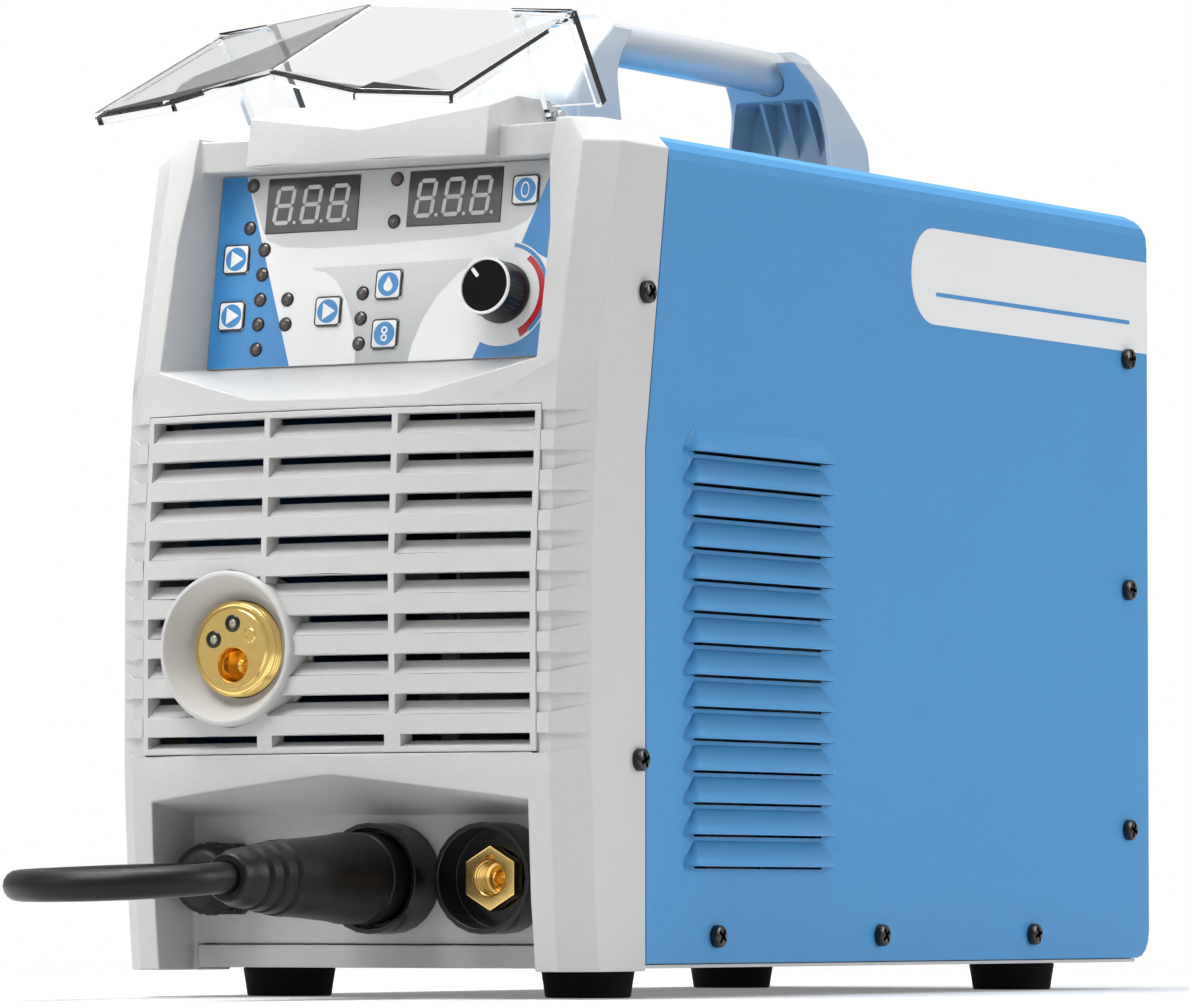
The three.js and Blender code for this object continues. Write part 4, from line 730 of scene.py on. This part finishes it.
def louvres():
    """Pressed hoods that lie over the plain ones of the case, each with a matt black block in its slit as
    painted shade.
    """
    hoods = bmesh.new()
    painted_shades = bmesh.new()
    near, far = LOUVRE_Y
    for k in range(LOUVRES):
        z = LOUVRE_TOP_Z - k * LOUVRE_PITCH
        rings = []
        for rise, out, inset in LOUVRE_SHAPE:
            front, back = near + inset, far - inset
            profile = [(-0.5, -0.9 * out), (0.5 * out, -0.6 * out), (0.88 * out, 0), (out, 0.6 * out)]
            side = [(HALF_W + x, front + y) for x, y in profile]
            side += [(HALF_W + x, back - y) for x, y in reversed(profile)]
            rings.append([(x, y, z + rise) for x, y in side])
        loft(hoods, rings)
        # A thin matt black block in each slit under a hood: painted shade standing in for the dark inside of
        # the case.
        block(painted_shades, (HALF_W, HALF_W + 4), (near + 2.6, far - 2.6), (z - 0.2, z))
    soften(hoods, 0.3, 50)
    piece("louvre_hoods", hoods, "machine", BLUE, 40)
    piece("louvre_painted_shade", painted_shades, "machine", MATT_BLACK)


louvres()
refine("side_door", BLUE, bevel=0.4, angle=30, pierced=True)
refine("rear_panel", BLUE, bevel=0.3, angle=30, pierced=True)
refine("base_tray", TRAY, bevel=0.4, angle=30)
for name in ("foot_front_left", "foot_front_right", "foot_rear_left", "foot_rear_right"):
    refine(name, MATT_BLACK, bevel=0.8, angle=30, segments=3)

HANDLE_MID_Y = 216.2
GRIP_Z = 388.2
GRIP_R = 9.4
GRIP_END = 84.5
# Height, outer and inner face from the handle's middle, half width.
HANDLE_STATIONS = [
    (332.3, 130, 90, 27.5), (351, 129.7, 90, 26), (360, 128, 90, 25), (372, 117, 88, 23),
    (382, 105, 81, 21.5), (390, 91.5, 70.5, 19.5), (393.5, 87, 70.5, 18.7), (397.5, 85, 71.5, 14.5),
]
# Half width and height round the hollow under the grip's seat.
POCKET = [(25.6, 334), (24.2, 351), (23.2, 360), (21, 371), (18.6, 376.5)]
POCKET_DEPTH = 18


def smooth_stations(stations, steps=4):
    """Stations in between, on a Catmull-Rom curve through the given ones."""
    ends = [stations[0]] + stations + [stations[-1]]
    result = []
    for p0, p1, p2, p3 in zip(ends, ends[1:], ends[2:], ends[3:]):
        for k in range(steps):
            t = k / steps
            result.append([0.5 * (2 * b + (c - a) * t + (2 * a - 5 * b + 4 * c - d) * t ** 2
                                  + (3 * b - a - 3 * c + d) * t ** 3) for a, b, c, d in zip(p0, p1, p2, p3)])
    return result + [list(stations[-1])]


def support_ring(z, outer, inner, half):
    """One level of the front support: rounded outer corners and crisper inner ones."""
    ring = []
    corners = [(-1, outer, 5, 1), (1, outer, 5, 1), (1, inner, 1.6, -1), (-1, inner, 1.6, -1)]
    for k, (sx, reach, r, side) in enumerate(corners):
        start = 180 - 90 * k
        for x, y in arc(sx * (half - r), reach - side * r, r, start, start - 90, 4):
            ring.append((x, HANDLE_MID_Y - y, z))
    return ring


def support_ribs():
    """Three short gussets in the hollow under the grip's seat."""
    ribs = bmesh.new()
    deep = 90 + POCKET_DEPTH + 0.5
    gusset = [(94, 377), (deep, 377), (deep, 352)]
    for x in (-11, 0, 11):
        near = [ribs.verts.new(at(x - 0.8, HANDLE_MID_Y - y, z)) for y, z in gusset]
        far = [ribs.verts.new(at(x + 0.8, HANDLE_MID_Y - y, z)) for y, z in gusset]
        ribs.faces.new(near)
        ribs.faces.new(far[::-1])
        for i in range(3):
            ribs.faces.new([near[i], far[i], far[(i + 1) % 3], near[(i + 1) % 3]])
    return ribs


def handle_supports():
    """The front support, cut out for the grip and hollowed, and its mirror image."""
    bm = bmesh.new()
    loft(bm, [support_ring(*station) for station in smooth_stations(HANDLE_STATIONS)])
    soften(bm, 1.2, 50, 3)
    front = piece("handle_front_shell", bm, "machine", HANDLE)
    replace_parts(front, "handle_front_support")
    span = (HANDLE_MID_Y - GRIP_END - 0.4, HANDLE_MID_Y - 60)
    seat = bmesh.new()
    prism(seat, circle(GRIP_R + 0.8, 64, 0.02), *span, spot(0, 0, GRIP_Z))
    cut_with(front, seat)
    opening = bmesh.new()
    block(opening, (-40, 40), span, (GRIP_Z + 3, GRIP_Z + 30))
    cut_with(front, opening)
    pocket = bmesh.new()
    outline = POCKET + [(-x, z) for x, z in reversed(POCKET)]
    prism(pocket, outline, HANDLE_MID_Y - 90 - POCKET_DEPTH, HANDLE_MID_Y - 70, PLACE)
    soften(pocket, 1.5, 50, 2)
    cut_with(front, pocket)
    weigh(front)
    ribs = piece("handle_front_ribs", support_ribs(), "machine", HANDLE)
    middle = at(0, HANDLE_MID_Y, 0).y
    mirror = Matrix.Translation((0, 2 * middle, 0)) @ Matrix.Diagonal((1, -1, 1, 1))
    for name, source in (("handle_rear_shell", front), ("handle_rear_ribs", ribs)):
        mesh = source.data.copy()
        mesh.transform(mirror)
        mesh.flip_normals()
        rear = placed(name, mesh, "machine", HANDLE)
        if source is front:
            weigh(rear)
            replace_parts(rear, "handle_rear_support")


handle_supports()


def grip():
    """A tube with slightly rounded ends."""
    end = [(0, 0), (GRIP_R - 0.8, 0), (GRIP_R - 0.2, 0.3), (GRIP_R, 0.9)]
    profile = [(r, HANDLE_MID_Y - GRIP_END + t) for r, t in end]
    profile += [(r, HANDLE_MID_Y + GRIP_END - t) for r, t in reversed(end)]
    bm = bmesh.new()
    turned(bm, profile, spot(0, 0, GRIP_Z), 96)
    tube = piece("grip_tube", bm, "machine", GRIP, 40)
    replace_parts(tube, "handle_grip")


grip()
for name in ("spool_hub", "spool_nut", "tension_knob", "switch_frame", "power_switch_rocker",
             "mains_gland"):
    refine(name, BLACK, bevel=0.4)
for name in ("door_latch_upper", "door_latch_lower"):
    refine(name, BLACK, bevel=0.4, pierced=True)
for name in ("wire_spool", "fan_frame"):
    refine(name, BLACK, bevel=0.3, pierced=True)
refine("fan_blades", BLACK, bevel=0.3)
for name in ("door_hinge_pin", "cover_pin_left", "cover_pin_right", "drive_roll", "idler_roll"):
    refine(name, STEEL, bevel=0.2)
for name in ("divider_plate", "encoder_body", "feed_motor"):
    refine(name, ZINC, bevel=0.4)
for name in ("feeder_plate", "pressure_arm", "heatsink"):
    refine(name, ALUMINIUM, bevel=0.4)
refine("gas_valve", BRASS, bevel=0.4)
refine("wire_winding", COPPER, bevel=0.6)
refine("transformer", WINDINGS, bevel=1.5)
refine("main_board", BOARD, bevel=0.3)
paint("clear_cover", ACRYLIC, False)  # thin clear plates, whose edges stay sharp


# ---------------------------------------------------------------- screws
SCREW_R = 4.6


def screw_mesh():
    """A black pan head with a wide cross recess, its axis along +Y, in metres."""
    bm = bmesh.new()
    head = [(0, -1.5), (2, -1.5), (2, 0), (SCREW_R, 0), (SCREW_R, 2.2), (4.35, 2.9), (3.7, 3.3),
            (2.6, 3.5), (0, 3.6)]
    turned(bm, head, Matrix.Scale(MM, 4), 36)
    bmesh.ops.recalc_face_normals(bm, faces=bm.faces)
    mesh = bpy.data.meshes.new("screw")
    bm.to_mesh(mesh)
    bm.free()
    obj = bpy.data.objects.new("screw", mesh)
    bpy.context.scene.collection.objects.link(obj)
    for half_x, half_z in ((3.3, 0.75), (0.75, 3.3)):
        cutter = bmesh.new()
        block(cutter, (-half_x, half_x), (1.6, 5), (-half_z, half_z), Matrix.Scale(MM, 4))
        cut_with(obj, cutter)
    result = obj.data
    bpy.data.objects.remove(obj)
    result.materials.clear()
    result.materials.append(GLOSS_BLACK)
    return result


SCREW = screw_mesh()


def screws(prefix, places, turn):
    """Screws at points of the case, each stopped at another angle."""
    for k, (x, y, z) in enumerate(places):
        obj = bpy.data.objects.new(f"{prefix}_{k + 1}", SCREW)
        spin = Matrix.Rotation(0.7 + 1.3 * k, 4, "Y")
        obj.matrix_world = Matrix.Translation(at(x, y, z)) @ turn @ spin
        bpy.context.scene.collection.objects.link(obj)
        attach(obj, "machine")


SIDE_SCREWS = [(-0.5, 267), (-6, 81), (427, 266.5), (427, 163.5), (427, 56.9), (56, 11), (195, 11), (334, 11)]
screws("right_screw", [(HALF_W, y, z) for y, z in SIDE_SCREWS], TO_X)
LEFT_SCREWS = [(-0.5, 267), (-6, 81), (438, 163.5), (56, 11), (195, 11), (334, 11)]
screws("left_screw", [(-HALF_W, y, z) for y, z in LEFT_SCREWS], FLIP @ TO_X)
REAR_SCREW_Y = 445
REAR_SCREWS = [(-100, 20), (100, 20), (-100, 300), (100, 300), (100, 160), (-100, 160)]
screws("rear_screw", [(x, REAR_SCREW_Y, z) for x, z in REAR_SCREWS], Matrix.Identity(4))


# ---------------------------------------------------------------- side label
LABEL_FRONT = 224
LABEL_HALF_H = 20.5
LABEL_Z = 290.5


def side_label():
    """A plain white label with a round front end and a blue line."""
    bm = bmesh.new()
    r = LABEL_HALF_H
    outline = [(CASE_LEN - 0.3, -r), (CASE_LEN - 0.3, r)] + arc(LABEL_FRONT + r, 0, r, 90, 270, 20)
    side = spot(HALF_W, 0, LABEL_Z) @ Matrix.Rotation(math.pi / 2, 4, "Z")
    prism(bm, outline, -0.25, 0.1, side)
    piece("side_label", bm, "machine", LABEL)
    line = bmesh.new()
    prism(line, rounded(92, 0.9, 0.8, 338, -7.5, 3), -0.35, -0.2, side)
    piece("side_label_line", line, "machine", BLUE_PRINT)


side_label()

# ---------------------------------------------------------------- control panel
DISPLAYS = [(-38.9, 27, "display_left"), (28.8, 27, "display_right")]
DISPLAY_HALF = (22, 11.4)
DIGITS = 3
DIGIT_PITCH = 13
FIRST_DIGIT = -13.6
DIGIT_HALF = (3.7, 7.2)
DIGIT_BAR = 1.7
LAMPS = [
    (-68.4, 36.1), (-68.4, 18.3), (-60.5, 8.9), (-60.5, -1.4), (-60.5, -11.9), (-60.5, -22.2),
    (-60.5, -32.6), (-47.3, -12.3), (-47.3, -22.6), (-11.3, -11.2), (-11.3, -21.6),
    (-11.3, -32), (0.8, 35.6), (0.8, 18),
]
KEYS = [
    ("key_trigger_mode", -73.4, 5.4), ("key_process", -73.4, -18.3), ("key_gas_mode", -27, -18.1),
    ("key_gas_test", 1, -8.1), ("key_inch", 1, -28.5), ("key_function", 62.1, 28.1),
]
KEY_HALF = 6.1
KEY_DISC_R = 4.9
KNOB = (55.3, -14)
KNOB_FLUTES = 36


def clipped(outline, half_x, half_z):
    """An outline cut to the panel's rectangle, side by side (Sutherland and Hodgman)."""
    sides = [(1, 0, half_x), (-1, 0, half_x), (0, 1, half_z), (0, -1, half_z)]
    for nx, nz, limit in sides:
        kept = []
        for (x0, z0), (x1, z1) in zip(outline, outline[1:] + outline[:1]):
            d0 = limit - (nx * x0 + nz * z0)
            d1 = limit - (nx * x1 + nz * z1)
            if d0 >= 0:
                kept.append((x0, z0))
            if d0 * d1 < 0:
                t = d0 / (d0 - d1)
                kept.append((x0 + t * (x1 - x0), z0 + t * (z1 - z0)))
        outline = kept
    return outline


def panel_holes():
    """What stands in the overlay's openings, as a bmesh to cut with."""
    bm = bmesh.new()
    for x, z, _ in DISPLAYS:
        block(bm, (x - DISPLAY_HALF[0] - 0.2, x + DISPLAY_HALF[0] + 0.2), (-3, 1),
              (z - DISPLAY_HALF[1] - 0.2, z + DISPLAY_HALF[1] + 0.2), PANEL)
    for _, x, z in KEYS:
        prism(bm, rounded(KEY_HALF + 0.3, KEY_HALF + 0.3, 1.8, x, z), -3, 1, PANEL)
    for x, z in LAMPS:
        prism(bm, [(x + a, z + b) for a, b in circle(2.8, 20)], -3, 1, PANEL)
    prism(bm, [(KNOB[0] + a, KNOB[1] + b) for a, b in circle(4, 24)], -3, 1, PANEL)
    return bm


def printed(name, outline, layer, material):
    """One printed field of the overlay, a film a few hundredths of a millimetre thick."""
    bm = bmesh.new()
    front = OVERLAY_FRONT - 0.04 * layer
    prism(bm, clipped(outline, *PANEL_HALF), front - 0.04, front + 0.02, PANEL)
    cut_with(piece(name, bm, "machine", material), panel_holes())


def overlay():
    """The printed overlay: white, with grey, blue and red fields laid over each other."""
    bm = bmesh.new()
    prism(bm, rounded(*PANEL_HALF, 2), OVERLAY_FRONT, -0.35, PANEL)
    base = piece("overlay_base", bm, "machine", WHITE_PRINT)
    cut_with(base, panel_holes())
    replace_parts(base, "panel_overlay")
    upper = [(-72, 41), (-62, 17), (-59.3, 12.8), (-52, 9.8), (-36, 8.6), (0, 9), (40, 10.4), (56, 12.2),
             (64, 16), (70, 24), (75, 41)]
    printed("grey_upper_field", upper, 1, graded("upper_print", "dfe0e0", "bcbec0", 8, 38))
    left_curve = [(-36, -0.6), (-30, -1.6), (-24, -6), (-18.8, -14), (-14.8, -24), (-12.9, -33), (-12.4, -41)]
    right_curve = [(12.2, -41), (14, -33), (18, -23), (24, -13.5), (33, -4.8), (41, -0.8)]
    middle = left_curve + right_curve + [(39, 1.2), (0, 0.6), (-36, 0.4)]
    printed("grey_middle_field", middle, 1, graded("middle_print", "bcbebf", "dfe0e0", -40, 1))
    printed("blue_left_field", [(-85, 41), (-72.2, 41), (-43.6, -41), (-85, -41)], 2, BLUE_PRINT)
    right = [(85, 41), (75.6, 41), (72, 32), (61, 4.7), (66, 4.2), (71.4, 1), (85, -6)]
    printed("blue_right_field", right, 2, BLUE_PRINT)
    corner = [(42.6, -41), (46.8, -31.6), (50, -29), (85, -20), (85, -41)]
    printed("blue_corner_field", corner, 2, BLUE_PRINT)
    printed("knob_disc", arc(*KNOB, 21.5, 0, 355, 60), 3, WHITE_PRINT)
    red = arc(*KNOB, 16.6, 55, -62, 40) + arc(KNOB[0], KNOB[1] - 0.8, 19.6, -62, 55, 40)
    printed("knob_scale_red", red, 4, RED_PRINT)
    blue = arc(*KNOB, 19.3, 80, -50, 40) + arc(*KNOB, 20.9, -50, 80, 40)
    printed("knob_scale_blue", blue, 5, BLUE_PRINT)


overlay()


def seven_segments(bm, cx, cz, half_w, half_h, thick, depth):
    """The seven bars and the point of one digit, leaning a little."""
    lean = 0.12
    gap = 0.25

    def bar(x0, z0, x1, z1):
        length = math.hypot(x1 - x0, z1 - z0)
        ux, uz = (x1 - x0) / length, (z1 - z0) / length
        t = thick / 2
        along = [(gap, 0), (gap + t, t), (length - gap - t, t), (length - gap, 0),
                 (length - gap - t, -t), (gap + t, -t)]
        points = [(x0 + ux * a - uz * b, z0 + uz * a + ux * b) for a, b in along]
        prism(bm, [(cx + x + lean * z, cz + z) for x, z in points], depth, depth + 0.3, PANEL)

    for z in (-half_h, 0, half_h):
        bar(-half_w, z, half_w, z)
    for x in (-half_w, half_w):
        bar(x, 0, x, half_h)
        bar(x, -half_h, x, 0)
    point = [(cx + half_w + 1.7 + a, cz - half_h + b) for a, b in circle(0.75, 12)]
    prism(bm, point, depth, depth + 0.3, PANEL)


def display(x, z, node):
    """A dark window with three unlit digits."""
    bm = bmesh.new()
    half_x, half_z = DISPLAY_HALF
    prism(bm, rounded(half_x, half_z, 0.4, x, z, 2), OVERLAY_FRONT - 0.3, 6, PANEL)
    soften(bm, 0.15, 60, 1)
    window = piece(node.replace("display", "window"), bm, "machine", WINDOW)
    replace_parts(window, node)
    digits = bmesh.new()
    for k in range(DIGITS):
        middle = x + FIRST_DIGIT + DIGIT_PITCH * k
        seven_segments(digits, middle, z, *DIGIT_HALF, DIGIT_BAR, OVERLAY_FRONT - 0.42)
    piece(node.replace("display", "digits"), digits, "machine", SEGMENT)


for x, z, node in DISPLAYS:
    display(x, z, node)


def indicator_lamps():
    """Small unlit domes, each in a dark rim."""
    bm = bmesh.new()
    for x, z in LAMPS:
        dome = [(0, -2.6), (1.4, -2.5), (2.3, -2.1), (2.6, -1.6), (2.6, -1.2), (2.4, -1), (2.4, 4), (0, 4)]
        turned(bm, dome, PANEL @ Matrix.Translation((x, 0, z)), 24)
    lamps = piece("indicator_lamps", bm, "machine", LAMP)
    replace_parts(lamps, "indicator_board")
    rims = bmesh.new()
    for x, z in LAMPS:
        ring = [(2.6, -1.2), (3, -1.2), (3, -1.55), (2.85, -1.75), (2.6, -1.7), (2.6, -1.2)]
        turned(rims, ring, PANEL @ Matrix.Translation((x, 0, z)), 24)
    piece("lamp_rims", rims, "machine", DARK_PRINT)


indicator_lamps()


def triangle_sign(bm, x, z, y0, y1):
    prism(bm, [(x - 2.3, z - 3.5), (x + 3.6, z), (x - 2.3, z + 3.5)], y0, y1, PANEL)


def ring_sign(bm, x, z, y0, y1):
    tall = PANEL @ Matrix.Translation((x, 0, z)) @ Matrix.Diagonal((0.75, 1, 1.3, 1))
    turned(bm, [(2, y0), (2.6, y0), (2.6, y1), (2, y1), (2, y0)], tall, 32)


def drop_sign(bm, x, z, y0, y1):
    outline = arc(x, z - 0.8, 2.1, 150, 390, 16) + [(x, z + 3.4)]
    prism(bm, outline, y0, y1, PANEL)


def reel_sign(bm, x, z, y0, y1):
    for dz, r in ((1.5, 1.5), (-1.6, 1.5)):
        place = PANEL @ Matrix.Translation((x, 0, z + dz))
        turned(bm, [(r - 0.7, y0), (r, y0), (r, y1), (r - 0.7, y1), (r - 0.7, y0)], place, 24)


SIGNS = [triangle_sign, triangle_sign, triangle_sign, drop_sign, reel_sign, ring_sign]


def key(node, x, z, sign):
    """A white key with a dark edge line, a blue disc and a plain sign."""
    front = OVERLAY_FRONT - 1
    bm = bmesh.new()
    prism(bm, rounded(KEY_HALF, KEY_HALF, 1.6, x, z), front, 7, PANEL)
    soften(bm, 0.2, 50)
    cap = piece(node + "_cap", bm, node, WHITE_PRINT)
    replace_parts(cap, node)
    line = bmesh.new()
    prism(line, rounded(KEY_HALF + 0.02, KEY_HALF + 0.02, 1.7, x, z), front - 0.04, front + 0.9, PANEL)
    edge = piece(node + "_edge", line, node, DARK_PRINT)
    hollow = bmesh.new()
    prism(hollow, rounded(KEY_HALF - 0.6, KEY_HALF - 0.6, 1.1, x, z), front - 1, front + 1, PANEL)
    cut_with(edge, hollow)
    disc = bmesh.new()
    prism(disc, [(x + a, z + b) for a, b in circle(KEY_DISC_R, 40)], front - 0.03, front + 0.1, PANEL)
    piece(node + "_disc", disc, node, BLUE_PRINT)
    mark = bmesh.new()
    sign(mark, x, z, front - 0.07, front)
    piece(node + "_sign", mark, node, WHITE_PRINT)


for (node, x, z), sign in zip(KEYS, SIGNS):
    key(node, x, z, sign)


def encoder_knob():
    """A black knob with fine flutes, a white ring round its face and a pointer line."""
    place = PANEL @ Matrix.Translation((KNOB[0], 0, KNOB[1]))
    bm = bmesh.new()
    skirt = [(0, -1.8), (12.4, -1.8), (12.4, -3.8), (11.9, -4.6), (11.6, -15.4), (11.6, -16.2), (10.7, -16.5),
             (10.6, -16.1), (10.4, -15.9), (0, -15.9)]
    turned(bm, skirt, place, 72)
    for k in range(KNOB_FLUTES):
        turn = Matrix.Rotation(2 * math.pi * k / KNOB_FLUTES, 4, "Y")
        flute = place @ turn @ Matrix.Translation((11.75, 0, 0)) @ Matrix.Rotation(math.radians(-1.5), 4, "Z")
        prism(bm, circle(0.35, 6), -13.5, -5, flute)
    body = piece("knob_body", bm, "encoder_knob", GLOSS_BLACK)
    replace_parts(body, "encoder_knob")
    face = bmesh.new()
    turned(face, [(0, -15.8), (10.4, -15.8), (10.4, -16), (0, -16.05)], place, 64)
    piece("knob_face", face, "encoder_knob", MATT_BLACK)
    white = bmesh.new()
    ring = [(10.5, -15.9), (11.65, -15.9), (11.65, -16.6), (11.3, -16.9), (10.7, -16.9), (10.5, -15.9)]
    turned(white, ring, place, 72)
    pointer = place @ Matrix.Rotation(math.radians(-42), 4, "Y")
    prism(white, rounded(0.75, 2.2, 0.3, 0, 7.5, 3), -16.3, -15.9, pointer)
    piece("knob_ring", white, "encoder_knob", WHITE_PRINT)


encoder_knob()


# ---------------------------------------------------------------- floor and light
FLOOR_R = 1.3
FLOOR_GLOW = 0.15
AMBIENT = 0.16
MIRRORED = 0.45  # how far towards white the surround looks in a reflection
# Name, place and target in metres, width and height, watts.
SOFT_BOXES = [
    ("top_softbox", (-0.2, 0.1, 2.1), (0, 0, 0.3), (1.5, 1.5), 62),
    ("top_front_softbox", (-0.3, -1.3, 2.2), (0, -0.1, 0.3), (1.2, 1.2), 44),
    ("front_softbox", (-1.5, -2.3, 1.2), (0, 0, 0.2), (1.2, 1.2), 9),
    ("side_softbox", (2.4, 1.3, 1.1), (0, 0, 0.2), (1.2, 1.2), 30),
]


def floor():
    """A round white sheet under the machine."""
    bm = bmesh.new()
    bmesh.ops.create_circle(bm, cap_ends=True, segments=96, radius=FLOOR_R)
    mesh = bpy.data.meshes.new("floor")
    bm.to_mesh(mesh)
    bm.free()
    obj = bpy.data.objects.new("floor", mesh)
    obj.location.z = FLOOR_Z
    paper = surface("floor_paper", "d2d2d2", 0.7, grain=200, depth=0.00001, mottle=0.002, shine=0.1)
    shader = paper.node_tree.nodes["Principled BSDF"]
    shader.inputs["Emission Color"].default_value = (1, 1, 1, 1)
    shader.inputs["Emission Strength"].default_value = FLOOR_GLOW
    mesh.materials.append(paper)
    bpy.context.scene.collection.objects.link(obj)


def area_light(name, place, target, size, power):
    """A rectangular lamp that shines from place towards target."""
    data = bpy.data.lights.new(name, "AREA")
    data.shape = "RECTANGLE"
    data.size, data.size_y = size
    data.energy = power
    lamp = bpy.data.objects.new(name, data)
    lamp.location = place
    lamp.rotation_euler = (Vector(target) - Vector(place)).to_track_quat("-Z", "Y").to_euler()
    bpy.context.scene.collection.objects.link(lamp)


def studio():
    """Four soft boxes, and a surround that looks whiter than the light it gives."""
    world = bpy.data.worlds.new("studio")
    world.use_nodes = True
    tree = world.node_tree
    background = tree.nodes["Background"]
    background.inputs["Color"].default_value = (1, 1, 1, 1)
    ray = tree.nodes.new("ShaderNodeLightPath")
    seen = tree.nodes.new("ShaderNodeMath")
    seen.operation = "MAXIMUM"
    mirrored = tree.nodes.new("ShaderNodeMath")
    mirrored.operation = "MULTIPLY_ADD"
    mirrored.inputs[1].default_value = MIRRORED
    strength = tree.nodes.new("ShaderNodeMapRange")
    strength.inputs["To Min"].default_value = AMBIENT
    strength.inputs["To Max"].default_value = 1.0
    tree.links.new(ray.outputs["Is Camera Ray"], seen.inputs[0])
    tree.links.new(ray.outputs["Is Transmission Ray"], seen.inputs[1])
    tree.links.new(ray.outputs["Is Glossy Ray"], mirrored.inputs[0])
    tree.links.new(seen.outputs["Value"], mirrored.inputs[2])
    tree.links.new(mirrored.outputs["Value"], strength.inputs["Value"])
    tree.links.new(strength.outputs["Result"], background.inputs["Strength"])
    bpy.context.scene.world = world
    bpy.context.scene.view_settings.view_transform = "Standard"
    for box in SOFT_BOXES:
        area_light(*box)


floor()
studio()
